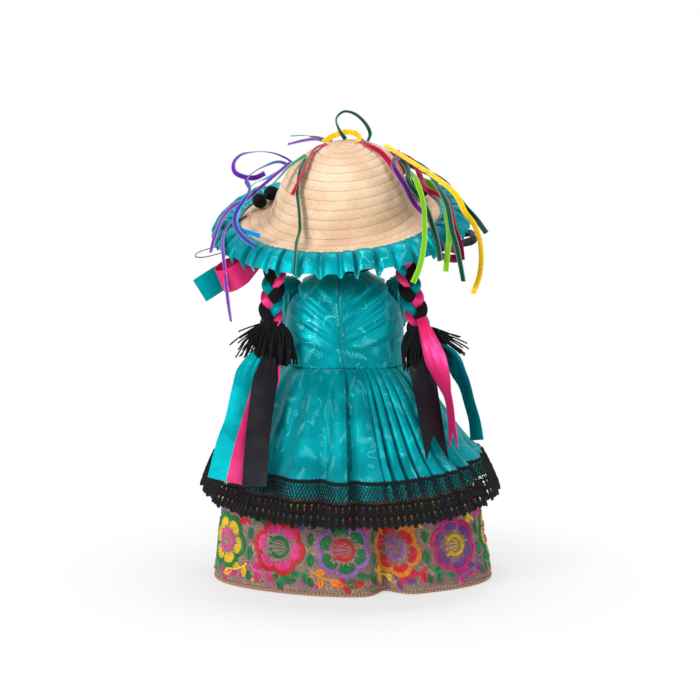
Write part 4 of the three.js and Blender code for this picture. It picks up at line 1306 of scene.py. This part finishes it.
# Ovals of the torso and bodice: [height, half width, half depth]
TORSO = [
    [113.5, 16, 14], [117.5, 26, 22], [127.5, 34, 27], [146, 36, 29], [160, 35, 29], [172, 33.4, 30],
    [188, 26, 28], [200, 26, 26], [209, 22, 20], [214, 12, 12], [219.7, 12, 12],
]
BODICE = [
    [152.3, 40.4, 32.6], [163, 41, 33.4], [175, 40.8, 33.8], [186, 40, 32], [196, 38.8, 30], [203, 36, 27.6],
    [209, 30.5, 23.6], [213.5, 21, 18], [218.8, 14.8, 15.4],
]
SQUARE_BACK = 2 / 2.6
# Each crease's start, slope, softness and depth
CREASES = [
    (-9, 0.42, 2.6, 0.9), (-2, 0.6, 1.5, 1.4), (4, 0.78, 2.1, 0.9), (13, 0.85, 3, 1.2), (25, 0.9, 2.2, 0.8),
]


def beside_sleeves(x, y, z):
    """Keeps the bodice clear of the sleeves, but lets its back lie behind them."""
    along = ARM_SLOPE * (y - z + SHOULDER_UP)
    behind = -ARM_SLOPE * (y + z - SHOULDER_UP)
    clear = max((behind - 11.5) / 4, (along - 33.5) / 4, (-12 - along) / 4)
    room = 28.2 + 14 * min(1, max(0, clear))
    middle = ARM_MIDDLE
    return middle + min(room, max(-room, x - middle))


def bodice_creases(x, z):
    """Soft creases drawn down from each shoulder to the seam."""
    total = 0.0
    side = 1 if x < 0 else 0.84
    for start, slope, soft, deep in CREASES:
        away = (z - 171 - slope * side * abs(x) - start * side) / soft
        total += deep * (math.exp(-away * away) - 0.6 * math.exp(-(away + 1.7) ** 2))
    return total * min(1, abs(x) / 9) * min(1, max(0, (z - 156) / 8)) * min(1, max(0, (40 - abs(x)) / 14))


def seam_at(z):
    """How far the back seam lies from the doll's middle."""
    return -3.3 + 2.8 * max(0, (172 - z) / 20) ** 2


def make_bodice(satin_teal, dark_thread):
    """Fitted satin, seamed down the back, with creases drawn in from each shoulder."""
    columns = 168
    low, high = BODICE[0][0], BODICE[-1][0]
    heights = [low + (high - low) * i / 60 for i in range(61)]
    rings = []
    for z in heights:
        wide, deep = through(BODICE, z)
        seam_x = seam_at(z)
        ring = []
        for a in angles(columns):
            power = SQUARE_BACK if math.sin(a) < 0 else 1
            x = wide * math.copysign(abs(math.cos(a)) ** power, math.cos(a))
            y = deep * math.copysign(abs(math.sin(a)) ** power, math.sin(a))
            back = min(1, max(0.0, -2 * math.sin(a)))
            seam = -0.8 * math.exp(-((x - seam_x) / 1.2) ** 2)
            gather = 0.4 * math.sin(a * 40) * max(0, 1 - (z - low) / 7)
            out = 1 + (back * (seam + bodice_creases(x - seam_x, z)) + gather) / max(wide, deep)
            ring.append((beside_sleeves(lean(z) + x * out, y * out, z), y * out, z))
        rings.append(ring)
    bodice = cloth_grid("bodice", rings, lambda i, j: (j * 0.15, heights[i] / 10), 0.8, 60)
    dress(bodice, satin_teal, "satin_teal", "trunk", "bodice")
    placket = [Vector((lean(z) + seam_at(z) + 1.9, -through(BODICE, z)[1] - 0.35, z)) for z in heights[:57]]
    rows = frames(placket, (0, -1, 0))
    flap = strip("bodice_placket", rows, lambda t: 1.7, cupped, 0.5, 60, 4, 0.34)
    dress(flap, satin_teal, "satin_teal", "trunk")
    seams = Threads()
    for side in (-1, 1):
        seams.tube([p + Vector((side * 1.75, -0.05, 0)) for p in placket], 0.28, 5)
    dress(seams.make("bodice_seams"), dark_thread, "satin_teal", "trunk")


# Ovals of the skirt: [height, half width, half depth, depth of the pleats, dip at the back]
SKIRT = [
    [66, 101.5, 101.5, 6, 9], [88, 90, 90, 7, 5], [98, 80, 79, 6.6, 4], [112, 70, 68, 5.6, 2],
    [128, 60, 57, 4.4, 1], [143, 50, 45, 2.8, 0], [152, 41, 35, 1.1, 0],
]
# One knife pleat: (share of its width, how far out)
KNIFE = [
    (0, -0.35), (0.2, -0.3), (0.36, 0.25), (0.54, 0.85), (0.75, 1.12), (0.98, 1.2), (1.1, 0.95), (1.07, 0.35),
    (1.0, -0.15),
]


def pleat_columns():
    """Knife pleats on the right of the back and in front, soft waves on the left of the back."""
    edges = [256, 268, 283, 287.7, 293.5, 299.4, 306, 313.2, 321.9, 331.6, 348]
    edges += [356.5 + 183.5 * k / 22 for k in range(23)]
    waves = [558, 577, 596, 616]
    columns = []
    for a, b in zip(edges, edges[1:]):
        columns += [(a + (b - a) * s, out) for s, out in KNIFE]
    for a, b in zip([540] + waves, waves):
        columns += [(a + (b - a) * k / 8, 0.45 - 0.35 * math.cos(TAU * k / 8)) for k in range(8)]
    return columns


def skirt_point(degrees, z, out):
    wide, deep, fold, dip = through(SKIRT, z)
    a = math.radians(degrees)
    lift = fold * (out - 0.5) - 2.2 * min(1, max(0, HEM_UP - z))
    fall = dip * max(0, -math.sin(a))
    return oval(a, wide + lift, deep + lift, z - fall, lean(z))


def make_skirt(satin_teal):
    """Pleated satin that ends a little below the top of the lace sewn over its hem."""
    columns = pleat_columns()
    heights = [WAIST_UP - (WAIST_UP - HEM_UP) * i / 34 for i in range(35)] + [87, 83, 79]
    rings = [[skirt_point(degrees, z, out) for degrees, out in columns] for z in heights]
    runs = edge_runs(rings[-1])
    downs = [run / 10 for run in runs_along([ring[0] for ring in rings])]
    skirt = cloth_grid("skirt", rings, lambda i, j: (runs[j], downs[i]), 0.7, 50)
    dress(skirt, satin_teal, "satin_teal", "trunk", "skirt")


def hem_wave():
    """How far out the lace stands at each half degree: over the outer folds of the hem."""
    stops = [(degrees % 360, out) for degrees, out in pleat_columns()]
    outer = []
    for k in range(720):
        near = [out for at, out in stops if abs((at - k / 2 + 180) % 360 - 180) < 1.6]
        outer.append(max(near) if near else outer[-1])
    return [sum(outer[(k + d) % 720] for d in range(-2, 3)) / 5 for k in range(720)]


def make_lace(thread):
    """Crochet worked down from the hem: an open net, two rows of fans on close bands, and picots."""
    wave = hem_wave()
    count = 140

    def place(k, down, proud=0.0):
        degrees = 360 * k / count % 360
        near = int(degrees * 2)
        out = wave[near % 720] + (degrees * 2 - near) * (wave[(near + 1) % 720] - wave[near % 720])
        wide, deep, fold, _ = through(SKIRT, HEM_UP - LACE_DEEP * down)
        a = math.radians(degrees)
        lift = fold * (out - 0.5) * (1 - 0.3 * max(0, down)) + 0.9 + proud
        z = HEM_UP - LACE_DEEP * down - (5 + 4 * down) * max(0, -math.sin(a))
        return oval(a, wide + lift, deep + lift, z, lean(z))

    threads = Threads()
    picots = Threads()

    def close_band(low, high):
        """A band of close stitches in rows, thin and sloping as the skirt does."""
        steps = count * 4
        tall = 11 * (high - low)
        rows = []
        for i in range(steps + 1):
            a = TAU * i / steps
            outwards = Vector((math.cos(a), math.sin(a), 0))
            rows.append((place(i / 4, (low + high) / 2), None, outwards, Vector((0, 0, 1))))

        def outline(t):
            lump = math.cos(math.pi * round(t * steps) / 2)
            levels = [tall * (1 - 0.4 * k) for k in range(6)]
            face = [(-0.52 * v + 0.5 + 0.5 * lump * (-1) ** k, v + 0.3 * lump) for k, v in enumerate(levels)]
            return face + [(-0.52 * v - 0.4, v) for v in reversed(levels)]

        threads.section(rows, outline)

    edge = [place(k / 4, -0.02) for k in range(count * 4 + 1)]
    threads.tube(edge, 0.7, 5)
    close_band(0.45, 0.52)
    close_band(0.72, 0.78)
    for k in range(count):
        for start in (0, 0.5):
            rise = [-0.04 - 0.04 * math.sin(math.pi * s / 2) for s in range(3)]
            threads.tube([place(k + start + s / 4, rise[s], 0.5) for s in range(3)], 0.65, 4)
        for row in range(5):
            for start in (0, 0.5):
                shift = k + start + 0.25 * (row % 2)
                top = 0.02 + 0.085 * row
                arc = [(s / 6, top + 0.1 * math.sin(math.pi * s / 3), 0.2 * (s % 2)) for s in range(4)]
                threads.tube([place(shift + across, *stop) for across, *stop in arc], 0.36, 4)
        for low, high, fan in ((0.5, 0.74, 0.21), (0.6, 0.75, 0.12)):
            for s in range(-2, 3):
                ends = [place(k + 0.5 + s * 0.12, low), place(k + 0.5 + s * fan, high, 0.3)]
                threads.tube(ends, 0.55, 4)
        for down in (0.58, 0.66):
            threads.tube([place(k + 0.06 * s - 0.24, down + 0.015 * (s % 2), 0.2) for s in range(9)], 0.4, 4)
        tip = 1.03 if k % 3 else 1.09
        swells = [(tip - 0.9) * math.sin(math.pi * s / 6) ** 0.6 for s in range(7)]
        shell = [place(k + s / 6, 0.9 + swells[s], 0.2) for s in range(7)]
        picots.tube(shell, 0.75, 4)
        for s in range(1, 6):
            picots.tube([place(k + 0.5 + (s - 3) * 0.12, 0.76), shell[s]], 0.6, 4)
        for s in (2, 4):
            ends = [place(k + s / 6, 0.92, 0.2), place(k + s / 6, 0.93 + swells[s], 0.3)]
            picots.tube(ends, 0.7, 4)
    picots.tube([place(k / 4, 0.86, 0.2) for k in range(count * 4 + 1)], 0.5, 5)
    lace = threads.make("lace_hem")
    dress(lace, thread, "crochet_black", "trunk", "lace_hem")
    fringe = picots.make("lace_picots")
    dress(fringe, thread, "crochet_black", "trunk")
    flat = (line_length(edge) * MM, 0.031)


def make_sleeves(satin_teal):
    """Short puffed sleeves, gathered at the shoulder and into a narrow band above the elbow."""
    outer = [
        [8.4, 1.5, 1.5], [8, 3.6, 3.8], [6.8, 6.2, 6.6], [4.4, 8, 9], [0.5, 9, 10.4], [-5, 9.4, 11.2],
        [-12, 9.4, 11.6], [-20, 9.1, 11.5], [-26, 8.6, 10.8], [-29.5, 7.6, 9.2], [-31, 7.3, 8.7],
        [-33, 7.5, 8.9],
    ]
    inner = [[-33, 6.7, 7.2], [-20, 6.7, 7.2], [0, 6.9, 7.4], [5, 5.4, 5.6], [6.8, 2.2, 2.2]]
    columns = 96
    for side, name in SIDES:
        seat = shoulder_seat(side)
        rings = []
        for n, (z, wide, deep) in enumerate(outer + inner):
            ring = []
            for a in angles(columns):
                share = 0.0 if n >= len(outer) else 0.5 * abs(z + 9) / 21 + 0.12
                puff = share * (math.sin(15 * a) + 0.4 * math.sin(7 * a + 1))
                ring.append(seat @ oval(a, wide + puff, deep + puff, z))
            rings.append(ring)
        sleeve = cloth_grid("sleeve_" + name, rings, lambda i, j: (j * 0.07, i * 0.32), 0.0, 60)
        close_ends(sleeve)
        dress(sleeve, satin_teal, "satin_teal", "arm_" + name, "sleeve_" + name)


def shoulder_seat(side):
    """Where an arm hangs from: its shoulder, turned so that the arm rests forwards."""
    x = ARM_MIDDLE + side * SHOULDER_OUT
    return Matrix.Translation((x, 0, SHOULDER_UP)) @ Matrix.Rotation(math.radians(ARM_REST), 4, "X")


# Petticoat

# Ovals of the petticoat: [height, half width, half depth, share of its folds]
PETTICOAT = [
    [EDGE_UP, 96.5, 66, 1], [70, 84, 59, 1], [100, 64, 50, 0.5], [126, 50, 42, 0.1],
    [PETTICOAT_UP, 38, 31, 0],
]


def petticoat(degrees, z, out=0.0):
    wide, deep, share = through(PETTICOAT, z)
    a = math.radians(degrees)
    off = (degrees + 75 + 180) % 360 - 180
    fold = share * (15 * math.exp(-(off / 6) ** 2) + 1.2 * math.sin(5 * a))
    return oval(a, wide - fold + out, deep - fold + out, z, lean(z))


class Band:
    """The flat band of the petticoat: millimetres round it from one side, at a height."""

    def __init__(self):
        self.turns = [203 + k / 2 for k in range(721)]
        self.runs = runs_along([petticoat(degrees, 31) for degrees in self.turns])
        self.length = self.runs[-1]

    def degrees(self, run):
        run %= self.length
        low, high = 0, 720
        while high - low > 1:
            half = (low + high) // 2
            low, high = (half, high) if self.runs[half] <= run else (low, half)
        share = (run - self.runs[low]) / (self.runs[high] - self.runs[low])
        return self.turns[low] + share / 2

    def place(self, run, z, out=0.75):
        """The point on the cloth, and the way off it."""
        degrees = self.degrees(run)
        here = petticoat(degrees, z, out)
        round_it = petticoat(degrees + 0.6, z) - petticoat(degrees - 0.6, z)
        up_it = petticoat(degrees, z + 1) - petticoat(degrees, z - 1)
        return here, round_it.cross(up_it).normalized()


def make_petticoat(ground):
    columns = 300
    heights = [EDGE_UP + (PETTICOAT_UP - EDGE_UP) * i / 44 for i in range(45)]
    rings = [[petticoat(360 * j / columns, z) for j in range(columns)] for z in heights]
    around = edge_runs(rings[10])
    cloth = cloth_grid("petticoat", rings, lambda i, j: (around[j], heights[i] / 10), 1.2, 50)
    dress(cloth, ground, "flowered_band", "trunk", "petticoat")


DYES = {
    "green": rgb("108A48"), "leaf": rgb("1F8040"), "yellow": rgb("F6CF1A"), "orange": rgb("F59E1C"),
    "pink": rgb("F0459C"), "rose": rgb("F25CA6"), "magenta": rgb("E22C88"), "red": rgb("E31C2E"),
    "wine": rgb("8E1F3C"), "purple": rgb("8A4FA0"), "lilac": rgb("B678C6"), "cream": rgb("F3E3C3"),
    "dark": rgb("1D1A1C"), "brown": rgb("5A3A26"), "blush": rgb("E0705F"), "beige": rgb("A8906C"),
    "dusty": rgb("9A5A78"),
}
# The dyes of a flower's edge, petals and heart
COLOURWAYS = [
    ("green", "yellow", "rose"), ("red", "pink", "green"), ("lilac", "green", "red"),
    ("orange", "red", "lilac"), ("magenta", "purple", "yellow"), ("green", "yellow", "red"),
]
SPRIGS = ["yellow", "magenta", "red", "green", "orange", "purple", "leaf"]
# Between two flowers: sprigs at (across, height, way, bend, length), leaves at (across, height, way,
# length, dye) and knots at (across, height)
GAP_SPRIGS = [
    (-1, 18, 225, -0.35, 15), (1, 18, -45, 0.35, 15), (-1, 45, 135, 0.3, 14), (1, 45, 45, -0.3, 14),
    (-16, 61, 12, -0.2, 14), (17, 61, 170, 0.2, 14), (16, 7.5, 2, 0.1, 13),
]
GAP_LEAVES = [
    (0, 13, -80, 6.5, "leaf"), (0, 20, 92, 9, "green"), (0, 43, -90, 8, "leaf"), (-2, 51, 88, 9, "green"),
]
GAP_KNOTS = [(-5, 9.5), (4.5, 7), (-9, 61), (9, 57)]


def faded(dye, chance):
    shade = 0.82 + 0.3 * chance.random()
    return tuple(min(1, c * shade) for c in DYES[dye][:3]) + (1,)


def sew_flower(threads, band, run, z, size, dyes, chance):
    """A round flower: a padded lobed edge, fringed petals, and an open ring about its stamens."""
    edge, petal, heart = dyes
    turn = chance.uniform(-0.4, 0.4)

    def sew(ends, wide, tall, dye):
        (start, up), (end, _) = [band.place(run + size * x, z + size * y) for x, y in ends]
        threads.stitch(start, end, up, wide, tall, faded(dye, chance))

    def radial(low, high, a, wide, tall, dye, slant=0.0):
        stops = ((low, a), (high, a + slant))
        sew([(r * math.cos(b), r * math.sin(b)) for r, b in stops], wide, tall, dye)

    count = int(TAU * size / 1.2)
    for k in range(count):
        a = TAU * k / count
        notch = abs(math.cos(3 * (a + turn)))
        lobe = 0.8 + 0.2 * notch ** 0.55
        radial(lobe - 0.2, lobe, a, 1.7, 1.5, edge, 0.04)
        if notch > 0.3:
            radial(chance.uniform(0.42, 0.64), lobe - 0.16, a, 1.4, 0.9 + 0.3 * (k % 2), petal)
    for a in angles(34):
        if abs(a - math.pi) > 0.6:
            radial(0.25, 0.4, a, 1.6, 1.4, heart, 0.1)
    for k in range(4):
        rise = (k - 1.5) * 0.11
        sew(((0.2, rise * 0.6), (-0.3, rise * 1.7)), 1.0, 0.8, heart)
        sew_knot(threads, band, run - 0.32 * size, z + size * rise * 1.9, faded(heart, chance), 1.1)


def sew_knot(threads, band, run, z, dye, size):
    point, up = band.place(run, z)
    one = up.orthogonal().normalized() * size
    two = up.cross(one)
    threads.stitch(point - one, point + one, up, 1.3 * size, 1.1 * size, dye)
    threads.stitch(point - two, point + two, up, 1.3 * size, 1.25 * size, dye)


def sew_leaf(threads, band, run, z, angle, length, dye, chance):
    """A pointed leaf, in slanting satin stitch either side of its middle vein."""
    ahead, level = math.cos(angle), math.sin(angle)
    for k in range(9):
        t = 0.05 + 0.87 * k / 8
        x, y = run + length * t * ahead, z + length * t * level
        wide = 0.34 * length * math.sin(math.pi * min(1, t + 0.05)) ** 0.8
        for side in (-wide, wide):
            start, up = band.place(x, y)
            on = 0.13 * length
            tip, _ = band.place(x + on * ahead - side * level, y + on * level + side * ahead)
            threads.stitch(start, tip, up, 0.2 * length, 1.0, faded(dye, chance))


def sew_sprig(threads, band, run, z, angle, bend, length, dye, chance):
    """A curving stem of one colour, with a leaf to each side and a leaf at its end."""
    def stem(t):
        a = angle + bend * t
        return run + length * t * math.cos(a), z + length * t * math.sin(a), a

    points = [band.place(*stem(k / 6)[:2])[0] for k in range(7)]
    threads.tube(points, 0.85, 5, dye=faded(dye, chance))
    for t, turn, share in ((0.25, 1.0, 0.5), (0.5, -0.9, 0.5), (0.95, 0, 0.6)):
        x, y, a = stem(t)
        sew_leaf(threads, band, x, y, a + turn, share * length, dye, chance)


def make_embroidery(thread):
    chance = random.Random(21)
    band = Band()
    threads = Threads()
    pitch = band.length / FLOWERS
    for k in range(FLOWERS):
        run = k * pitch
        level = FLOWER_UP + chance.uniform(-1, 1)
        sew_flower(threads, band, run, level, FLOWER_SIZE, COLOURWAYS[k % len(COLOURWAYS)], chance)
        gap = run + pitch / 2
        for m, (start, level, way, bend, length) in enumerate(GAP_SPRIGS):
            dye = SPRIGS[(k * 3 + m) % len(SPRIGS)]
            sew_sprig(threads, band, gap + start, level, math.radians(way), bend, length, dye, chance)
        for start, level, way, length, dye in GAP_LEAVES:
            sew_leaf(threads, band, gap + start, level, math.radians(way), length, dye, chance)
        for start, level in GAP_KNOTS:
            sew_knot(threads, band, gap + start, level, faded(SPRIGS[(k + level % 5 > 2) % 4], chance), 1.4)
    for _ in range(1100):
        run, z = chance.uniform(0, band.length), chance.uniform(4.5, 68)
        near = (run + pitch / 2) % pitch - pitch / 2
        if math.hypot(near, z - FLOWER_UP) < FLOWER_SIZE - 0.5:
            continue
        a = chance.uniform(0, TAU)
        start, up = band.place(run, z, 0.65)
        end, _ = band.place(run + 2.4 * math.cos(a), z + 2.4 * math.sin(a), 0.65)
        dye = chance.choice(("wine", "dusty", "leaf", "beige", "beige"))
        threads.stitch(start, end, up, 0.8, 0.5, faded(dye, chance))
    dress(threads.make("petticoat_embroidery", 40), thread, "flowered_band", "trunk")


def make_edging(braid):
    """Two cords twisted together along the petticoat's edge."""
    threads = Threads()
    steps = 1500
    edge = [petticoat(360 * k / steps, EDGE_UP) for k in range(steps + 1)]
    runs = runs_along(edge)
    turns = round(runs[-1] / 5.2)
    for start in (0, math.pi):
        points = []
        for k, p in enumerate(edge):
            q = edge[(k + 1) % steps]
            along = (q - edge[k - 1 if k else steps - 1]).normalized()
            out = along.cross(Vector((0, 0, 1)))
            a = start + TAU * turns * runs[k] / runs[-1]
            middle = Vector((p.x, p.y, 1.65 + 0.72 * math.sin(a)))
            points.append(middle + out * (0.75 * math.cos(a)))
        threads.tube(points, 0.88, 6)
    dress(threads.make("petticoat_braid"), braid, "edging_braid", "trunk", "petticoat_braid")


# Head and hair


def on_head(across, up, out=0.3):
    """A point on the face, from millimetres across and up from its middle."""
    wide, deep, tall = HEAD_HALF
    depth = deep * math.sqrt(max(0.05, 1 - (across / wide) ** 2 - (up / tall) ** 2))
    normal = Vector((across / wide ** 2, depth / deep ** 2, up / tall ** 2)).normalized()
    return Vector((lean(HEAD_UP) + across, depth, HEAD_UP + up)) + normal * out, normal


def make_head(cotton_face):
    rows = []
    drop = (NECK_UP - HEAD_UP) / HEAD_HALF.z
    for i in range(10):
        share = (1 + math.sin((i / 9 * 2 - 1) * math.pi / 2)) / 2
        level = drop + (0.985 - drop) * share
        width = math.sqrt(1 - level * level)
        height = HEAD_UP + level * HEAD_HALF.z
        rows.append((height, HEAD_HALF.x * width, HEAD_HALF.y * width, lean(HEAD_UP), 0))
    head = stuffed("head", rows, 20)
    dress(head, cotton_face, "skin_cloth", "head", "head")


def make_face(thread):
    """A plain stitched face: eyes in satin stitch, brows, a small nose and a smile."""
    chance = random.Random(3)
    threads = Threads()

    def sew(points, dye, wide=0.9, tall=0.5):
        for (a, b), (c, d) in zip(points, points[1:]):
            start, up = on_head(a, b)
            end, _ = on_head(c, d)
            threads.stitch(start, end, up, wide, tall, faded(dye, chance))

    for side in (-1, 1):
        middle = side * 13
        for k in range(9):
            x = (k - 4) * 0.85
            half = 4.6 * math.sqrt(1 - (x / 4.2) ** 2)
            sew([(middle + x, 3 - half), (middle + x, 3 + half)], "dark", 1.1, 0.9)
        sew([(middle + 1, 4.4), (middle + 2, 5.4)], "cream", 1.3, 1.6)
        for k in range(5):
            a = math.radians(55 + 18 * k)
            sew([(middle + 4.4 * math.cos(a), 3 + 4.9 * math.sin(a)),
                 (middle + 6.6 * math.cos(a), 3 + 7.2 * math.sin(a))], "dark", 0.7)
        brow = [(middle + s * 1.3 * side, 14.5 - 0.13 * (s - 1) ** 2) for s in range(-4, 6)]
        sew(brow, "brown", 0.9)
    sew([(-1.6, -6), (0, -4.4), (1.6, -6), (-1.6, -6)], "blush", 1.2, 0.9)
    smile = [(s * 1.5, -15.5 + 0.09 * s * s) for s in range(-7, 8)]
    sew(smile, "red", 1.3, 0.8)
    dress(threads.make("face_stitches", 40), thread, "skin_cloth", "head")


def make_hair(yarn):
    """Lengths of yarn sewn down a centre parting and drawn across to the plaits, over a knitted cap."""
    middle = Vector((lean(HEAD_UP), 0, HEAD_UP))
    tilt = Matrix.Translation(middle) @ Matrix.Rotation(math.radians(40), 4, "X")
    rings = []
    for radius, stops in ((CAP_OUTER, range(1, 25)), (CAP_INNER, range(24, 0, -1))):
        for k in stops:
            a = math.radians(90 * k / 24)
            out, up = radius * math.sin(a), radius * math.cos(a)
            rings.append([tilt @ Vector((out * c, out * s, up)) for c, s in circle(72)])
    cap = cloth_grid("hair_cap", rings, lambda i, j: (j * 0.4, i * 0.3), 0.0, 60)
    close_ends(cap)
    dress(cap, yarn, "yarn_black", "head")
    threads = Threads()
    chance = random.Random(5)
    for side, (_, route) in zip((-1, 1), PLAITS.values()):
        root = (Vector(route[0]) - middle).normalized()
        for k in range(76):
            share = (k + 0.5) / 76
            a = math.radians(52 + 174 * share)
            start = Vector((side * 0.012, math.cos(a), math.sin(a)))
            spread = Vector((0, 0.11 * math.cos(TAU * share), 0.11 * math.sin(TAU * share) - 0.01))
            end = (root + spread).normalized()
            points = []
            for s in range(15):
                t = s / 14
                way = slerp(start, end, t)
                radius = HAIR_OUT + 0.25 * chance.random() + 0.5 * math.sin(math.pi * t)
                points.append(middle + way * radius)
            threads.tube(points, 1.15, 5, start)
    dress(threads.make("hair"), yarn, "yarn_black", "head", "hair")


def slerp(start, end, t):
    turn = start.angle(end)
    return (start * math.sin((1 - t) * turn) + end * math.sin(t * turn)) / math.sin(turn)


# Stuffed body, arms and legs


def make_torso(skin):
    rows = [(z, wide, deep, lean(z), 0) for z, wide, deep in TORSO]
    torso = stuffed("torso", rows, 16)
    dress(torso, skin, "skin_cloth", "trunk", "torso")


def seated(obj, seat):
    """Moves a piece made about its own joint to where it hangs."""
    shift = Matrix.Scale(MM, 4) @ seat @ Matrix.Scale(1 / MM, 4)
    obj.data.transform(shift)
    obj.data.update()


def make_arms(skin):
    rows = [
        (6.2, 1.6, 1.6), (4.6, 4.2, 4.2), (0, 6.2, 6.2), (-14, 6.3, 6.3), (-28, 6.2, 6.2), (-44, 5.6, 5.6),
        (-60, 4.9, 4.9), (-63, 4.3, 4.5), (-66, 5.2, 6.2), (-71, 5.6, 6.8), (-76, 4, 4.6), (-78, 1.6, 2),
    ]
    for side, name in SIDES:
        arm = stuffed("arm_" + name, [(z, w, d, 0, 0) for z, w, d in rows], 14)
        thumb_rows = [(-62, 1.2), (-64, 2.3), (-68, 2.7), (-71, 2.2), (-72.5, 0.8)]
        thumb = stuffed("thumb", [(z, w, w, -side, 5.5 + (-62 - z) * 0.12) for z, w in thumb_rows], 10)
        alone(arm)
        thumb.select_set(True)
        bpy.ops.object.join()
        seated(arm, shoulder_seat(side))
        dress(arm, skin, "skin_cloth", "arm_" + name, "arm_" + name)


def make_legs(skin, leather_black, thread):
    leg_rows = [
        (11.5, 2, 2), (9.6, 6.7, 6.7), (5.3, 10.4, 10.4), (0, 11.7, 11.7), (-20, 11.5, 11.5),
        (-37, 10.5, 10.5), (-49.5, 9.9, 10.3), (-66, 8.6, 8.8), (-82.2, 7.5, 7.5),
    ]
    shoe_rows = [
        (-96.6, 7.6, 15.4, 8.5), (-95, 9, 17, 8.5), (-91, 9.1, 17.2, 8.5), (-88, 8.8, 15.5, 7.5),
        (-85.5, 8.4, 11.5, 3.5), (-83.2, 8.2, 8.6, 0.6), (-82.6, 7.4, 7.6, 0),
    ]
    for side, name in SIDES:
        seat = Matrix.Translation((lean(HIP_UP) + side * HIP_OUT, 0, HIP_UP))
        leg = stuffed("leg_" + name, [(z, w, d, 0, 0) for z, w, d in leg_rows], 16)
        seated(leg, seat)
        dress(leg, skin, "skin_cloth", "leg_" + name, "leg_" + name)
        shoe = stuffed("shoe_" + name, [(z, w, d, 0, y) for z, w, d, y in shoe_rows], 20)
        seated(shoe, seat)
        dress(shoe, leather_black, "shoe_leather", "leg_" + name, "shoe_" + name)
        trim = Threads()
        strap = []
        for k in range(17):
            a = math.pi * k / 16
            strap.append(seat @ Vector((9.0 * math.cos(a), 5 + 4.2 * math.sin(a), -84.6 + 5.4 * math.sin(a))))
        trim.tube(strap, 1.2, 8)
        for k in range(46):
            a = TAU * k / 46
            b = TAU * (k + 0.6) / 46
            ends = [seat @ Vector((9.05 * math.cos(q), 8.5 + 17.1 * math.sin(q), -94.2)) for q in (a, b)]
            trim.stitch(*ends, Vector((math.cos(a), math.sin(a), 0)), 0.6, 0.5)
        dress(trim.make("shoe_trim_" + name), leather_black, "shoe_leather", "leg_" + name)


# Set


def backdrop_rays(tree):
    """1 where the camera, or what shows in a shiny or clear surface, looks at the backdrop."""
    path = tree.nodes.new("ShaderNodeLightPath")
    total = path.outputs["Is Camera Ray"]
    for name in ("Is Glossy Ray", "Is Transmission Ray"):
        add = tree.nodes.new("ShaderNodeMath")
        add.use_clamp = True
        tree.links.new(total, add.inputs[0])
        tree.links.new(path.outputs[name], add.inputs[1])
        total = add.outputs[0]
    return total


def make_floor():
    """A pale floor that takes the doll's shadow and is plain white to look at away from it."""
    bpy.ops.mesh.primitive_plane_add(size=8, location=(0, 0, -0.0002))
    floor = bpy.context.object
    floor.name = "floor"
    material, n = new_material("floor_paint", 0.9, Base_Color=(0.9, 0.9, 0.9, 1))
    glow = n.new("Emission")
    away = n.new("VectorMath", operation="LENGTH")
    n.link(n.coords.outputs["Object"], away.inputs[0])
    blend = n.new("MixShader")
    share = n.times(n.step(away.outputs["Value"], 0.1, 0.24, 0.62, 1), backdrop_rays(n.tree))
    for socket, source in zip(blend.inputs, (share, n.shader.outputs[0], glow.outputs[0])):
        n.link(source, socket)
    n.link(blend.outputs[0], n.tree.nodes["Material Output"].inputs["Surface"])
    floor.data.materials.append(material)


def make_world():
    """Plain white behind the doll, and softer light from all round."""
    world = bpy.data.worlds.new("studio")
    bpy.context.scene.world = world
    world.use_nodes = True
    tree = world.node_tree
    background = tree.nodes["Background"]
    mix = tree.nodes.new("ShaderNodeMix")
    mix.data_type = "RGBA"
    tree.links.new(backdrop_rays(tree), mix.inputs[0])
    mix.inputs[6].default_value = (0.42, 0.42, 0.42, 1)
    mix.inputs[7].default_value = (1, 1, 1, 1)
    tree.links.new(mix.outputs[2], background.inputs["Color"])
    background.inputs["Strength"].default_value = 1


def main():
    bpy.context.scene.view_settings.view_transform = "Standard"
    make_camera()
    make_world()
    make_light("key", (-1.1, -1.4, 0.85), 0.6, 23)
    make_light("fill", (1.2, -1.2, 0.5), 0.9, 5)
    make_light("top", (0.1, 0.2, 1.7), 0.8, 9)
    make_floor()

    satin_teal = satin("satin_teal", "009EA8", "62DCE0", "007C86", True)
    satins = {
        "teal": satin("satin_teal_plain", "009299", "3FC6CC", "007F88"),
        "pink": satin("satin_pink", "F04488", "FFA8D6", "DC2A6E"),
        "black": satin("satin_black", "1E1D21", "A0A0A8", "151418"),
    }
    yarn = wool()
    white = stitching_thread("white_thread", "C9E4E2", "F4FBFA")
    skin = cotton("cotton_skin")[0]
    dyed = embroidery_thread()
    shoes = leather()

    make_narrow_ribbons()
    make_tails(satins)
    make_bows(satins)
    make_straw_hat()
    make_ruffle(satin_teal, white)
    make_garland(yarn)
    make_rosette(satins["pink"])
    make_plaits(yarn, satins)
    make_bodice(satin_teal, stitching_thread("dark_thread", "00484F", "006A72"))
    make_sleeves(satin_teal)
    make_skirt(satin_teal)
    make_lace(crochet_cotton())
    make_petticoat(embroidered_ground())
    make_embroidery(dyed)
    make_edging(edging())
    make_torso(skin)
    make_head(face_cotton())
    make_face(dyed)
    make_hair(yarn)
    make_arms(skin)
    make_legs(skin, shoes, white)


main()
